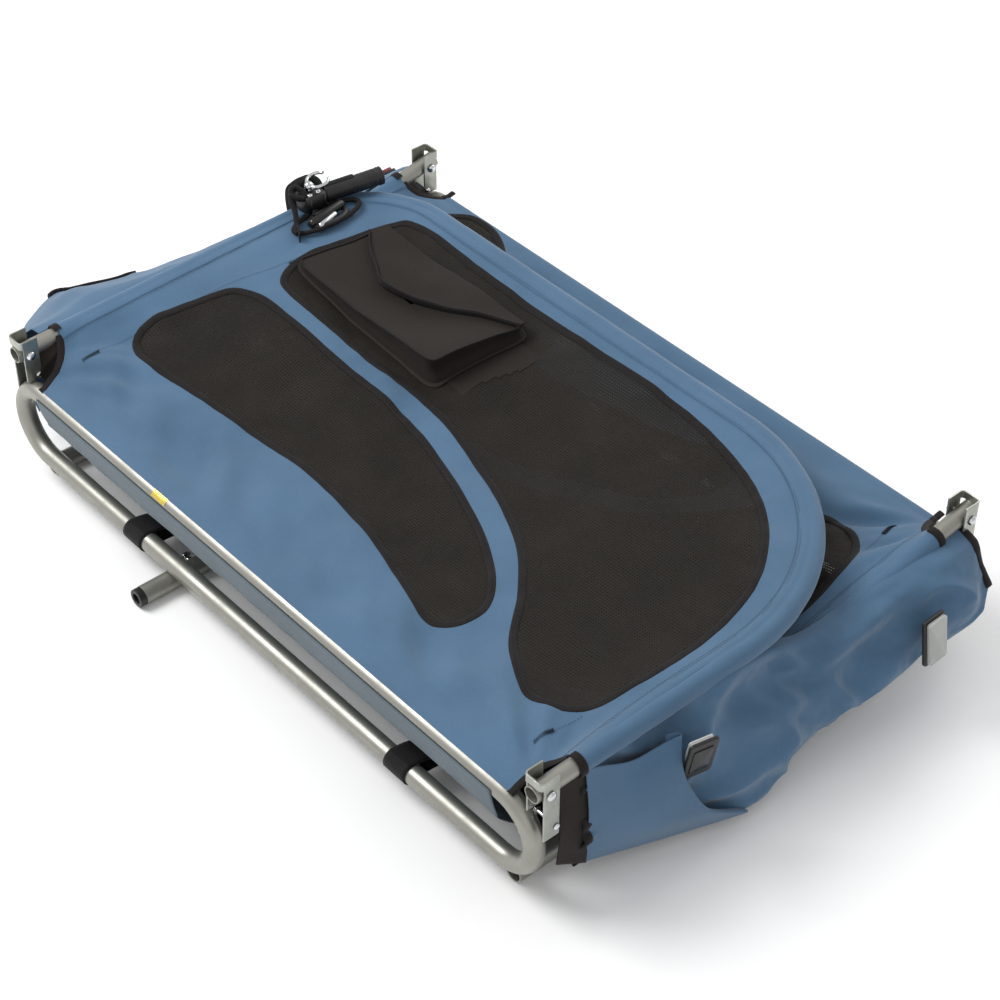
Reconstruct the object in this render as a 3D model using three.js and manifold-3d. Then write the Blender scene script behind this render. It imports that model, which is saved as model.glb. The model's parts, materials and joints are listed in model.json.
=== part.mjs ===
// Child bicycle trailer, folded flat with its wheels taken off.
// Millimetres. +X is the way it travels, +Y its left side, +Z up, and z = 0 is the ground it lies on.
// Two side loops and three cross tubes make the base. A hoop folds in from each side and carries that
// side's cloth; the right hoop lies on top of the left one.

import * as THREE from 'three';
import { mergeVertices } from 'three/addons/utils/BufferGeometryUtils.js';
import Module from 'manifold-3d';

const wasm = await Module();
wasm.setup();

// ---------------------------------------------------------------- driving dimensions
const GAP = 0.4;                    // left between pieces that touch
const SIDES = 12;                   // facets round a tube

const REAR_X = -414;                // centre of the rear corner brackets
const FRONT_X = 449;                // centre of the front corner brackets
const LOOP_Y = 290;                 // plane of each side loop

const LOOP_TUBE_R = 11;             // 22 mm tube
const LOOP_REAR_X = REAR_X - 14;    // ends of a loop's centre line
const LOOP_FRONT_X = FRONT_X - 7;
const LOOP_LOW_Z = 33.5;
const LOOP_HIGH_Z = 123;

const CROSS_R = 11;                 // the tubes it lies on
const CROSS_BORE_R = 9.2;
const AXLE_X = REAR_X + 268;
const AXLE_END_Y = 341;             // to the outer face of a bush
const BUSH_FLANGE = 8;
const WHEEL_PIN_R = 6;              // bore for a wheel's axle pin
const LOCK_PIN_Y = 262;
const LOCK_PIN_R = 2.2;

const BRACKET_WEB_Y = 300;          // outer face of a bracket's web
const BRACKET_WIDTH = 25;
const BRACKET_DEPTH = 23;
const SHEET = 2;
const BRACKET_TOP_Z = 186;
const BRACKET_LEG_Z = 108;
const INNER_LEG_Z = 132;            // a bracket's inner leg stops above the rail
const FOOT_BOLT = { y: 281, frontZ: 120, rearZ: 137, r: 2 };
const footBoltZ = (x) => (x > 0 ? FOOT_BOLT.frontZ : FOOT_BOLT.rearZ);

const PIVOT_Y = 288;                // hoop pivot: a bolt along X through the bracket and the hoop
const PIVOT_Z = 166;
const BOLT_R = 3;
const HOOP_R = 9.5;                 // 19 mm tube
const HOOP_BORE_R = 8.2;
const HOOP_REACH = 500;             // pivot to the middle of the far bar
const HOOP_TAIL = 18;               // from the pivot out to the open end
const HOOP_REAR_BEND = 120;
const HOOP_REAR_STEPS = 6;          // straights that the rear bend is made of
const HOOP_FRONT_BEND = 240;
const RIGHT_TILT = 1.5;             // degrees that the right hoop rises inwards, lying on the left one
const LEFT_TILT = 12;               // degrees that the left hoop drops inwards, towards the floor

const WINDOW_CLOTH = 4;             // thickness of a side panel's solid
const SLING_Z = 23;                 // underside of the floor sling
const SLING_THICK = 4;
const SLING_HALF_Y = 240;
const STRAP_XS = [REAR_X + 207, FRONT_X - 202];
const STRAP_WIDTH = 32;
const WEBBING_THICK = 2;

// ---------------------------------------------------------------- materials
const finish = (color, roughness, metalness = 0) => ({ color, roughness, metalness });
const PAINTED_TUBE = finish(0x9b9c95, 0.38, 0.6);
const ZINC = finish(0xabafa4, 0.3, 0.9);
const CHROME = finish(0xd6d8d8, 0.12, 1);
const BLUE_CLOTH = finish(0x57758f, 0.85);
const SKIRT_CLOTH = finish(0x596971, 0.9);
const BLACK_CLOTH = finish(0x36312e, 0.9);
const WINDOW_MESH = finish(0x43403a, 0.8);
const WEBBING = finish(0x161417, 0.85);
const PLASTIC = finish(0x1c1a1b, 0.45);
const CLEAR_LENS = finish(0xc8ccc8, 0.2);
const RED_LENS = finish(0x911828, 0.2);

// ---------------------------------------------------------------- solids
const degrees = THREE.MathUtils.degToRad;
const vec = (x, y, z) => new THREE.Vector3(x, y, z);

/** Position-only copy of a geometry, with its shared corners merged and its flat triangles dropped. */
function welded(geometry) {
  const bare = geometry.clone();
  bare.deleteAttribute('normal');
  bare.deleteAttribute('uv');
  const merged = mergeVertices(bare, 1e-4);
  const kept = [];
  for (let i = 0; i < merged.index.count; i += 3) {
    const [a, b, c] = [0, 1, 2].map((k) => merged.index.getX(i + k));
    if (a !== b && b !== c && a !== c) kept.push(a, b, c);
  }
  merged.setIndex(kept);
  return merged;
}

function solid(geometry) {
  const clean = welded(geometry);
  const vertProperties = new Float32Array(clean.attributes.position.array);
  const triVerts = new Uint32Array(clean.index.array);
  return new wasm.Manifold(new wasm.Mesh({ numProp: 3, vertProperties, triVerts }));
}

function geometryOf(manifold) {
  const mesh = manifold.getMesh();
  const geometry = new THREE.BufferGeometry();
  geometry.setAttribute('position', new THREE.BufferAttribute(new Float32Array(mesh.vertProperties), 3));
  geometry.setIndex(new THREE.BufferAttribute(new Uint32Array(mesh.triVerts), 1));
  return geometry;
}

/** geometry with the tool solids cut out of it. */
function cut(geometry, ...tools) {
  return geometryOf(tools.reduce((left, tool) => left.subtract(solid(tool)), solid(geometry)));
}

/** A path that is sampled at its own stations, so straights cost one step and bends keep theirs. */
class StationPath extends THREE.Curve {
  constructor(stations, closed = false) {
    super();
    this.stations = stations;
    this.closed = closed;
    this.steps = closed ? stations.length : stations.length - 1;
  }

  station(i) {
    const n = this.stations.length;
    return this.stations[this.closed ? ((i % n) + n) % n : THREE.MathUtils.clamp(i, 0, n - 1)];
  }

  getPoint(t, target = vec(0, 0, 0)) {
    return target.copy(this.station(Math.round(t * this.steps)));
  }

  getPointAt(u, target) {
    return this.getPoint(u, target);
  }

  getTangentAt(u, target = vec(0, 0, 0)) {
    const i = Math.round(u * this.steps);
    const before = this.station(i).clone().sub(this.station(i - 1)).normalize();
    const after = this.station(i + 1).clone().sub(this.station(i)).normalize();
    return target.copy(before.add(after)).normalize();
  }

  getSpacedPoints() {
    return Array.from({ length: this.steps + 1 }, (_, i) => this.station(i).clone());
  }
}

/** A round section swept along a path, hollow where bore is given. */
function tube(path, radius, bore = 0, sides = SIDES) {
  const section = new THREE.Shape().absarc(0, 0, radius, 0, Math.PI * 2);
  if (bore) section.holes.push(new THREE.Path().absarc(0, 0, bore, 0, Math.PI * 2, true));
  return new THREE.ExtrudeGeometry(section, {
    steps: path.steps, curveSegments: sides / 2, extrudePath: path,
  });
}

function straightTube(from, to, radius, bore, sides) {
  return tube(new StationPath([from, to]), radius, bore, sides);
}

/** Stations of a 90 degree bend from start to end about a centre, ends included. */
function bend(centre, start, end, steps = 7) {
  const a = start.clone().sub(centre);
  const b = end.clone().sub(centre);
  return Array.from({ length: steps + 1 }, (_, i) => {
    const angle = (Math.PI / 2) * (i / steps);
    return centre.clone().addScaledVector(a, Math.cos(angle)).addScaledVector(b, Math.sin(angle));
  });
}

/** A plane outline with straight or round corners, extruded along Z and centred on it. */
function plate(outline, thickness, curveSegments = 6) {
  const corners = (points) => new THREE.Shape(points.map((p) => new THREE.Vector2(...p)));
  const shape = outline instanceof THREE.Shape ? outline : corners(outline);
  return new THREE.ExtrudeGeometry(shape, { depth: thickness, bevelEnabled: false, curveSegments })
    .translate(0, 0, -thickness / 2);
}

/** An outline of [y, z] points, extruded along X from x0 to x1. */
function alongX(outline, x0, x1) {
  return plate(outline, x1 - x0)
    .rotateY(Math.PI / 2)
    .rotateX(Math.PI / 2)
    .translate((x0 + x1) / 2, 0, 0);
}

/** An outline of [x, z] points, extruded along Y from y0 to y1. */
function alongY(outline, y0, y1) {
  return plate(outline, y1 - y0).rotateX(Math.PI / 2).translate(0, (y0 + y1) / 2, 0);
}

/** A box between two corners. */
function block(low, high) {
  const size = high.map((h, i) => h - low[i]);
  return new THREE.BoxGeometry(...size).translate(...high.map((h, i) => (h + low[i]) / 2));
}

/** A piece turned about its own Y axis, from a [radius, height] profile. */
function turned(profile, sides = SIDES) {
  return new THREE.LatheGeometry(profile.map(([r, height]) => new THREE.Vector2(r, height)), sides);
}

/** A piece turned about X: the profile's heights run along +X. */
const turnedX = (profile, sides) => turned(profile, sides).rotateZ(-Math.PI / 2);

/** A ribbon of even thickness that follows [a, b] points: the same points offset to each side. */
function ribbon(points, thickness) {
  const sideOf = (sign) => points.map((p, i) => {
    const before = points[Math.max(i - 1, 0)];
    const after = points[Math.min(i + 1, points.length - 1)];
    const along = new THREE.Vector2(after[0] - before[0], after[1] - before[1]).normalize();
    return [p[0] - along.y * sign * thickness / 2, p[1] + along.x * sign * thickness / 2];
  });
  return [...sideOf(-1), ...sideOf(1).reverse()];
}

// ---------------------------------------------------------------- scene helpers
const trailer = new THREE.Group();
const rightHoop = new THREE.Group();
const leftHoop = new THREE.Group();
rightHoop.position.set(0, -PIVOT_Y, PIVOT_Z);
leftHoop.position.set(0, PIVOT_Y, PIVOT_Z);
rightHoop.rotation.x = degrees(RIGHT_TILT);
leftHoop.rotation.x = degrees(LEFT_TILT);
trailer.add(rightHoop, leftHoop);

function add(parent, name, geometry, look) {
  const mesh = new THREE.Mesh(geometry, new THREE.MeshStandardMaterial(look));
  mesh.name = name;
  parent.add(mesh);
  return mesh;
}

const SIDE_NAMES = [['right', -1], ['left', 1]];      // name, and the sign of its Y
const END_NAMES = [['rear', REAR_X], ['front', FRONT_X]];

// ---------------------------------------------------------------- base frame
function sideLoopPath(y) {
  const r = (LOOP_HIGH_Z - LOOP_LOW_Z) / 2;
  const midZ = LOOP_LOW_Z + r;
  const corner = (x, from, to) => bend(
    vec(x, y, midZ), vec(x + from[0] * r, y, midZ + from[1] * r), vec(x + to[0] * r, y, midZ + to[1] * r),
  );
  const front = LOOP_FRONT_X - r;
  const rear = LOOP_REAR_X + r;
  return new StationPath([
    ...corner(front, [0, -1], [1, 0]),
    ...corner(front, [1, 0], [0, 1]).slice(1),
    ...corner(rear, [0, 1], [-1, 0]),
    ...corner(rear, [-1, 0], [0, -1]).slice(1),
  ], true);
}

function sideLoop(y, radius = LOOP_TUBE_R) {
  const path = sideLoopPath(y);
  return new THREE.TubeGeometry(path, path.steps, radius, SIDES, true);
}

/** A cross tube along Y at x, with both ends open and a facet flat on the ground. */
function crossTube(x, endY) {
  const half = Math.PI / SIDES;
  const outerR = CROSS_R / Math.cos(half);
  const section = new THREE.Shape().absarc(0, 0, outerR, half, half + Math.PI * 2);
  section.holes.push(new THREE.Path().absarc(0, 0, CROSS_BORE_R, 0, Math.PI * 2, true));
  return plate(section, 2 * endY, SIDES / 2).rotateX(Math.PI / 2).translate(x, 0, CROSS_R);
}

/** Plastic bush in an end of the axle tube: a flange and a spigot round the bore for a wheel's axle pin. */
function axleBush(side) {
  const face = AXLE_END_Y - BUSH_FLANGE;
  const spigotR = CROSS_BORE_R - GAP;
  const flangeR = CROSS_R - 0.6;
  const inner = face - 14;
  const ring = turned([
    [WHEEL_PIN_R, inner], [spigotR, inner], [spigotR, face], [flangeR, face],
    [flangeR, AXLE_END_Y], [WHEEL_PIN_R, AXLE_END_Y], [WHEEL_PIN_R, inner],
  ]);
  return ring.rotateX(side < 0 ? Math.PI : 0).translate(AXLE_X, 0, CROSS_R);
}

/** Spring pin that locks the wheel's axle: a knob, a collar and a stem that slides out to the rear. */
function axleLockPin(side) {
  const knob = { rear: -23, front: -18, r: 7.5, chamfer: 2 };
  const collar = { rear: -13.4, front: -11.6, r: 5 };
  const neckR = 3;
  const tip = -4.5;
  const pin = turnedX([
    [0, knob.rear], [knob.r - 1, knob.rear], [knob.r, knob.rear + knob.chamfer], [knob.r, knob.front],
    [neckR, knob.front + 1], [neckR, collar.rear], [collar.r, collar.rear], [collar.r, collar.front],
    [LOCK_PIN_R, collar.front], [LOCK_PIN_R, tip], [0, tip],
  ]);
  return pin.translate(AXLE_X, side * LOCK_PIN_Y, CROSS_R);
}

/** The axle tube, with a hole in its rear wall for each lock pin. */
function axleTube() {
  const holeAt = (y) => straightTube(
    vec(AXLE_X - 2 * CROSS_R, y, CROSS_R), vec(AXLE_X, y, CROSS_R), LOCK_PIN_R + 0.6, 0, 8,
  );
  const tubeEnd = AXLE_END_Y - BUSH_FLANGE - GAP;
  return cut(crossTube(AXLE_X, tubeEnd), holeAt(-LOCK_PIN_Y), holeAt(LOCK_PIN_Y));
}

// ---------------------------------------------------------------- corner brackets
/** Lower edge of the web, just clear of the hoop's tail, which swings down under it as the hoop goes up. */
function webLowZ(side) {
  const tilt = degrees(side < 0 ? RIGHT_TILT : LEFT_TILT);
  const webReach = BRACKET_WEB_Y - PIVOT_Y;
  return PIVOT_Z + (HOOP_R + webReach * Math.abs(Math.sin(tilt))) / Math.cos(tilt) + 0.7;
}

/** U-shaped channel on a loop's end: its web faces out, and the hoop pivots between its legs. */
function cornerBracket(x, side) {
  const out = side * BRACKET_WEB_Y;
  const into = side * (BRACKET_WEB_Y - BRACKET_DEPTH);
  const web = side * (BRACKET_WEB_Y - SHEET);
  const half = BRACKET_WIDTH / 2;
  const thin = half - SHEET;
  const outline = [
    [x - half, out], [x + half, out], [x + half, into], [x + thin, into],
    [x + thin, web], [x - thin, web], [x - thin, into], [x - half, into],
  ];
  const channel = plate(outline, BRACKET_TOP_Z - BRACKET_LEG_Z)
    .translate(0, 0, (BRACKET_TOP_Z + BRACKET_LEG_Z) / 2);
  const belowWeb = block(
    [x - thin, Math.min(out, web) - 1, BRACKET_LEG_Z - 1],
    [x + thin, Math.max(out, web) + 1, webLowZ(side)],
  );
  const inward = -Math.sign(x);
  const legXs = [x + inward * (thin - 0.5), x + inward * (half + 1)];
  const overRail = block(
    [Math.min(...legXs), Math.min(out, into) - 1, BRACKET_LEG_Z - 1],
    [Math.max(...legXs), Math.max(out, into) + 1, INNER_LEG_Z],
  );
  const hole = (y, z, r) => straightTube(
    vec(x - half - 1, side * y, z), vec(x + half + 1, side * y, z), r + GAP, 0, 8,
  );
  return cut(
    channel,
    belowWeb,
    overRail,
    hole(PIVOT_Y, PIVOT_Z, BOLT_R),
    hole(FOOT_BOLT.y, footBoltZ(x), FOOT_BOLT.r),
    sideLoop(side * LOOP_Y, LOOP_TUBE_R + GAP),
    sideLoop(side * LOOP_Y, LOOP_TUBE_R + GAP).translate(0, 0, -12),
  );
}

/** Bolt across a bracket with its head to the front and a nut to the rear, as one piece. */
function crossBolt(x, y, z, r) {
  const half = BRACKET_WIDTH / 2 + GAP;
  const headR = 1.8 * r;
  const nut = [[0, -half - 2 * r], [0.7 * headR, -half - 2 * r], [headR, -half - 1.5 * r], [headR, -half]];
  const head = [[headR, half], [headR, half + 0.7 * r], [0.6 * headR, half + 1.3 * r], [0, half + 1.3 * r]];
  return turnedX([...nut, [r, -half], [r, half], ...head], 8).translate(x, y, z);
}

// ---------------------------------------------------------------- hoops (in their own tilted groups)
/** Centre line of a hoop. inward is +1 where the hoop reaches towards +Y. */
function hoopPath(inward) {
  const at = (x, reach) => vec(x, inward * reach, 0);
  const rear = { x: REAR_X + HOOP_REAR_BEND, reach: HOOP_REACH - HOOP_REAR_BEND };
  const front = { x: FRONT_X - HOOP_FRONT_BEND, reach: HOOP_REACH - HOOP_FRONT_BEND };
  return new StationPath([
    at(REAR_X, -HOOP_TAIL),
    ...bend(at(rear.x, rear.reach), at(REAR_X, rear.reach), at(rear.x, HOOP_REACH), HOOP_REAR_STEPS),
    ...bend(at(front.x, front.reach), at(front.x, HOOP_REACH), at(FRONT_X, front.reach), 8),
    at(FRONT_X, -HOOP_TAIL),
  ]);
}

function hoop(inward) {
  const boltHoles = END_NAMES.map(([, x]) => straightTube(
    vec(x - BRACKET_WIDTH, 0, 0), vec(x + BRACKET_WIDTH, 0, 0), BOLT_R + GAP, 0, 8,
  ));
  return cut(tube(hoopPath(inward), HOOP_R, HOOP_BORE_R), ...boltHoles);
}

/** Middle height of a side panel's solid above its hoop's plane, at a reach from the pivot. */
const PANEL_NEAR = { reach: 32, w: -24 };
const PANEL_FAR = { reach: HOOP_REACH - HOOP_R - 2, w: 5 };
const PANEL_SLOPE = (PANEL_FAR.w - PANEL_NEAR.w) / (PANEL_FAR.reach - PANEL_NEAR.reach);
const panelW = (reach) => PANEL_NEAR.w + (reach - PANEL_NEAR.reach) * PANEL_SLOPE;

/** Flips every face of a geometry that was mirrored. */
function turnedInsideOut(geometry) {
  const clean = welded(geometry);
  const { array } = clean.index;
  const flipped = [];
  for (let i = 0; i < array.length; i += 3) flipped.push(array[i], array[i + 2], array[i + 1]);
  clean.setIndex(flipped);
  return clean;
}

/** A hoop's cloth panel, inside the hoop: it rises from beside the side rail to the far bar. */
function sidePanel(inward) {
  const inset = HOOP_R + 2;
  const rearBend = HOOP_REAR_BEND - inset;
  const frontBend = HOOP_FRONT_BEND - inset;
  const rear = REAR_X + inset;
  const front = FRONT_X - inset;
  const { reach: far } = PANEL_FAR;
  const { reach: near } = PANEL_NEAR;
  const shape = new THREE.Shape().moveTo(rear, near)
    .lineTo(front, near).lineTo(front, far - frontBend)
    .absarc(front - frontBend, far - frontBend, frontBend, 0, Math.PI / 2)
    .lineTo(rear + rearBend, far)
    .absarc(rear + rearBend, far - rearBend, rearBend, Math.PI / 2, Math.PI);
  const panel = plate(shape, WINDOW_CLOTH, 5).applyMatrix4(new THREE.Matrix4().set(
    1, 0, 0, 0,
    0, inward, 0, 0,
    0, PANEL_SLOPE, 1, panelW(0),
    0, 0, 0, 1,
  ));
  return inward > 0 ? panel : turnedInsideOut(panel);
}

// ---------------------------------------------------------------- pocket on the right panel
const POCKET = {
  rear: REAR_X + 78, front: REAR_X + 322, low: 322, high: 440, deep: 32, thin: 9, cloth: 2, lean: 4,
};
const FLAP = { rear: POCKET.rear + 30, front: POCKET.front, drop: 45, thick: 2 };

/** Bellows pocket: a wedge, deepest at the front, open towards the hoop's far bar. */
function sidePocket() {
  const { rear, front, low, high, deep, thin, cloth, lean } = POCKET;
  const outer = [[rear, 0], [front, 0], [front - lean, deep], [rear, thin]];
  const inner = [
    [rear + cloth, cloth], [front - cloth, cloth],
    [front - lean - cloth, deep - cloth], [rear + cloth, thin - cloth],
  ];
  return cut(alongY(outer, low, high), alongY(inner, low + cloth, high + 1));
}

/** Flap that folds over the pocket's mouth, hinged along its far edge. */
function pocketFlap() {
  const { rear, front, drop, thick } = FLAP;
  const slope = (POCKET.deep - POCKET.thin) / (POCKET.front - POCKET.lean - POCKET.rear);
  const lift = (x) => POCKET.thin + slope * (x - POCKET.rear) + 1;
  const outline = [
    [rear, lift(rear)], [front, lift(front)], [front, lift(front) + thick], [rear, lift(rear) + thick],
  ];
  return alongY(outline, POCKET.high - drop, POCKET.high + 2);
}

// ---------------------------------------------------------------- coupler on the right hoop's rear leg
const COUPLER = {
  reach: 395,                       // middle of the clamp, from the pivot
  half: 14,                         // half of the clamp's length
  behind: 14,                       // how far the clamp stands behind the leg's middle
  gripFront: 10.8,
  headFront: 24,
  seam: 13,                         // height where the grip meets the head
  top: 34,
  low: -13,
};
const PIN = { x: 8, r: 3, from: 15, ringR: 13, ringWire: 2.2, ringZ: 43 };

/** Clamp: a grip round the start of the leg's bend, with a wider head for the socket and the pin. */
function couplerClamp() {
  const { reach, half, behind, gripFront, headFront, seam, top, low } = COUPLER;
  const piece = (front, bottom, upTo) => solid(block(
    [REAR_X - behind, reach - half, bottom], [REAR_X + front, reach + half, upTo],
  ));
  const body = geometryOf(piece(gripFront, low, seam + 1).add(piece(headFront, seam, top)));
  const bendStart = vec(REAR_X, HOOP_REACH - HOOP_REAR_BEND, 0);
  const lean = degrees(90 / HOOP_REAR_STEPS / 2);
  const along = vec(Math.sin(lean), Math.cos(lean), 0);
  const leg = straightTube(
    bendStart.clone().addScaledVector(along, -half), bendStart.clone().addScaledVector(along, 4 * half), HOOP_R + GAP,
  );
  const pinX = REAR_X + PIN.x;
  const pinHole = straightTube(vec(pinX, reach, seam + 1), vec(pinX, reach, top + 1), PIN.r + GAP, 0, 8);
  return cut(body, leg, pinHole);
}

/** Open tube that the towing spring goes into. */
function couplerSocket() {
  const from = vec(REAR_X + 13, COUPLER.reach + COUPLER.half + 4, 23);
  const length = vec(18, 72, 3);
  return straightTube(from, from.clone().add(length), 11, 7);
}

/** Chrome pin with a pull ring lying on the clamp. */
function couplerPin() {
  const stem = straightTube(vec(0, 0, PIN.from), vec(0, 0, PIN.ringZ - 2), PIN.r, 0, 8);
  const ring = new THREE.TorusGeometry(PIN.ringR, PIN.ringWire, 6, 14)
    .rotateX(degrees(10))
    .translate(0, PIN.ringR, PIN.ringZ);
  return geometryOf(solid(stem).add(solid(ring))).translate(REAR_X + PIN.x, COUPLER.reach, 0);
}

/** Webbing laid over the clamp and down behind it. */
function safetyStrap() {
  const { reach, seam, top } = COUPLER;
  const over = top + 2.5;
  const route = [[reach - 20, seam], [reach - 20, top], [reach - 12, over], [reach + 12, over]];
  return alongX(ribbon(route, WEBBING_THICK), REAR_X - 13, REAR_X + 1);
}

/** Oval plastic ring that the strap hooks into. */
function strapClip() {
  return new THREE.TorusGeometry(16, 3.5, 6, 14)
    .scale(0.7, 1.5, 1)
    .translate(REAR_X + 42, COUPLER.reach, 14);
}

// ---------------------------------------------------------------- cloth of the base
/** Sling that the seat and the luggage stand on, hung between the side rails. */
function floorSling() {
  return block(
    [REAR_X + 34, -SLING_HALF_Y, SLING_Z],
    [FRONT_X - 54, SLING_HALF_Y, SLING_Z + SLING_THICK],
  );
}

/** Webbing loop round a lower tube, with a tail in to the sling. */
function floorStrap(x, side) {
  const thick = 1.6;
  const r = LOOP_TUBE_R + 0.6 + thick / 2;
  const turns = 12;
  const wrap = degrees(285);
  const loop = Array.from({ length: turns + 1 }, (_, i) => wrap * i / turns)
    .map((angle) => [-LOOP_Y + Math.cos(angle) * r, LOOP_LOW_Z + Math.sin(angle) * r]);
  const tail = [-SLING_HALF_Y - GAP, SLING_Z + thick];
  const outline = ribbon([...loop, tail], thick).map(([y, z]) => [-side * y, z]);
  return alongX(outline, x - STRAP_WIDTH / 2, x + STRAP_WIDTH / 2);
}

/** Lower side cloth: down from the rail, then in and under to the sling. */
function skirt(side) {
  const thick = 2;
  const top = LOOP_HIGH_Z - LOOP_TUBE_R - GAP - 1.2;
  const profile = [[-LOOP_Y - 1, top], [-LOOP_Y - 1, 79], [-LOOP_Y + 4, 74], [-SLING_HALF_Y - 5, 30]];
  const outline = ribbon(profile, thick).map(([y, z]) => [-side * y, z]);
  return alongX(outline, REAR_X + 36, FRONT_X - 56);
}

/** [x, z] profiles of the end cloths, which hang in a loose fold below the brackets. */
const FRONT_CLOTH = [[464, 152], [492, 130], [514, 96], [520.5, 62], [508, 28], [482, 12], [462, 16]];
const REAR_CLOTH = [
  [-430, 156], [-470, 152], [-506, 132], [-520.5, 100], [-508, 62], [-474, 40], [-438, 34],
];
const endCurtain = (profile, y0, y1) => alongY(ribbon(profile, 6), y0, y1);

/** Top cloth rolled up along the floor. */
function roofRoll() {
  const { y, halfWidth, halfHeight } = { y: -140, halfWidth: 32, halfHeight: 16 };
  const middleZ = SLING_Z + SLING_THICK + halfHeight + 1;
  const outline = new THREE.Shape().absellipse(y, middleZ, halfWidth, halfHeight, 0, Math.PI * 2);
  const points = outline.getPoints(16).slice(0, -1).map((p) => [p.x, p.y]);
  return alongX(points, REAR_X + 70, FRONT_X - 100);
}

// ---------------------------------------------------------------- seat, harness and tow arm
const SEAT = { rear: -220, front: 150, right: 0, left: 170, backThick: 22, cushionThick: 24 };
const SEAT_Z = SLING_Z + SLING_THICK + 1;
const CUSHION_Z = SEAT_Z + SEAT.backThick + 1;
const HARNESS_Z = CUSHION_Z + SEAT.cushionThick + 1;
const HARNESS_WIDTH = 38;

/** Padded back, folded flat on the sling. */
function seatBack() {
  return block([SEAT.rear, SEAT.right, SEAT_Z], [SEAT.front, SEAT.left, SEAT_Z + SEAT.backThick]);
}

/** Cushion lying on the back. */
function seatCushion() {
  return block(
    [SEAT.rear + 20, SEAT.right + 8, CUSHION_Z],
    [SEAT.front - 20, SEAT.left - 8, CUSHION_Z + SEAT.cushionThick],
  );
}

/** Shoulder webbing across the cushion. */
function harnessStrap(x) {
  return block(
    [x - HARNESS_WIDTH / 2, SEAT.right + 16, HARNESS_Z],
    [x + HARNESS_WIDTH / 2, SEAT.left - 16, HARNESS_Z + WEBBING_THICK],
  );
}

/** Buckle between the two straps. */
function harnessBuckle() {
  const length = 45;
  const thick = 10;
  return block(
    [SEAT.rear + 160, SEAT.right + 60, HARNESS_Z],
    [SEAT.rear + 160 + length, SEAT.right + 112, HARNESS_Z + thick],
  );
}

/** Tow arm, taken out of its socket and laid along the floor: straight, with a set at the hitch end. */
function towArm() {
  const radius = 12.5;
  const bore = 11;
  const z = SLING_Z + SLING_THICK + radius + 1.5;
  const y = 205;
  const path = new THREE.CatmullRomCurve3([
    vec(300, y, z), vec(150, y, z), vec(-60, y, z), vec(-190, y, z),
    vec(-270, y - 15, z), vec(-330, y - 55, z), vec(-360, y - 95, z),
  ]);
  return tube(new StationPath(path.getSpacedPoints(16)), radius, bore);
}

// ---------------------------------------------------------------- reflectors
const REFLECTOR = { halfWidth: 16, halfHeight: 28, rim: 3, halfHousing: 2, lens: 5 };

/** Lens and housing share one place on the end cloth, tilted about Y; facing is the lens's side of it. */
function addReflector(name, [x, y, z], tilt, look, facing) {
  const { halfWidth, halfHeight, rim, halfHousing, lens } = REFLECTOR;
  const place = new THREE.Group();
  place.position.set(x, y, z);
  place.rotation.y = degrees(tilt);
  trailer.add(place);
  const housing = block([-halfHousing, -halfWidth, -halfHeight], [halfHousing, halfWidth, halfHeight]);
  const lensHigh = [lens / 2, halfWidth - rim, halfHeight - rim];
  const lensBlock = block(lensHigh.map((high) => -high), lensHigh)
    .translate(facing * (halfHousing + GAP + lens / 2), 0, 0);
  add(place, `${name}_reflector_housing`, housing, PLASTIC);
  add(place, `${name}_reflector_lens`, lensBlock, look);
}

// ---------------------------------------------------------------- assembly
for (const [sideName, side] of SIDE_NAMES) {
  const group = side < 0 ? rightHoop : leftHoop;
  add(trailer, `${sideName}_side_loop`, sideLoop(side * LOOP_Y), PAINTED_TUBE);
  add(trailer, `${sideName}_axle_bush`, axleBush(side), PLASTIC);
  add(trailer, `${sideName}_axle_lock_pin`, axleLockPin(side), CHROME);
  add(trailer, `${sideName}_skirt`, skirt(side), SKIRT_CLOTH);
  add(group, `${sideName}_hoop`, hoop(-side), PAINTED_TUBE);
  add(group, `${sideName}_side_panel`, sidePanel(-side), BLUE_CLOTH);
  for (const [endName, x] of END_NAMES) {
    add(trailer, `${endName}_${sideName}_bracket`, cornerBracket(x, side), ZINC);
    add(trailer, `${endName}_${sideName}_pivot_bolt`, crossBolt(x, side * PIVOT_Y, PIVOT_Z, BOLT_R), ZINC);
    const { y, r } = FOOT_BOLT;
    add(trailer, `${endName}_${sideName}_foot_bolt`, crossBolt(x, side * y, footBoltZ(x), r), ZINC);
  }
  STRAP_XS.forEach((x, i) => {
    add(trailer, `${END_NAMES[i][0]}_${sideName}_floor_strap`, floorStrap(x, side), WEBBING);
  });
}

add(trailer, 'rear_cross_tube', crossTube(REAR_X + 20, 300), PAINTED_TUBE);
add(trailer, 'front_cross_tube', crossTube(FRONT_X - 41, 300), PAINTED_TUBE);
add(trailer, 'axle_tube', axleTube(), PAINTED_TUBE);

const pocketGroup = new THREE.Group();
pocketGroup.position.z = panelW(0) + WINDOW_CLOTH / 2 + GAP;
pocketGroup.rotation.x = Math.atan(PANEL_SLOPE);
rightHoop.add(pocketGroup);
add(pocketGroup, 'side_pocket', sidePocket(), BLACK_CLOTH);
add(pocketGroup, 'pocket_flap', pocketFlap(), BLACK_CLOTH);

add(rightHoop, 'coupler_clamp', couplerClamp(), PLASTIC);
add(rightHoop, 'coupler_socket', couplerSocket(), PLASTIC);
add(rightHoop, 'coupler_pin', couplerPin(), CHROME);
add(rightHoop, 'safety_strap', safetyStrap(), WEBBING);
add(rightHoop, 'strap_clip', strapClip(), PLASTIC);

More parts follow.
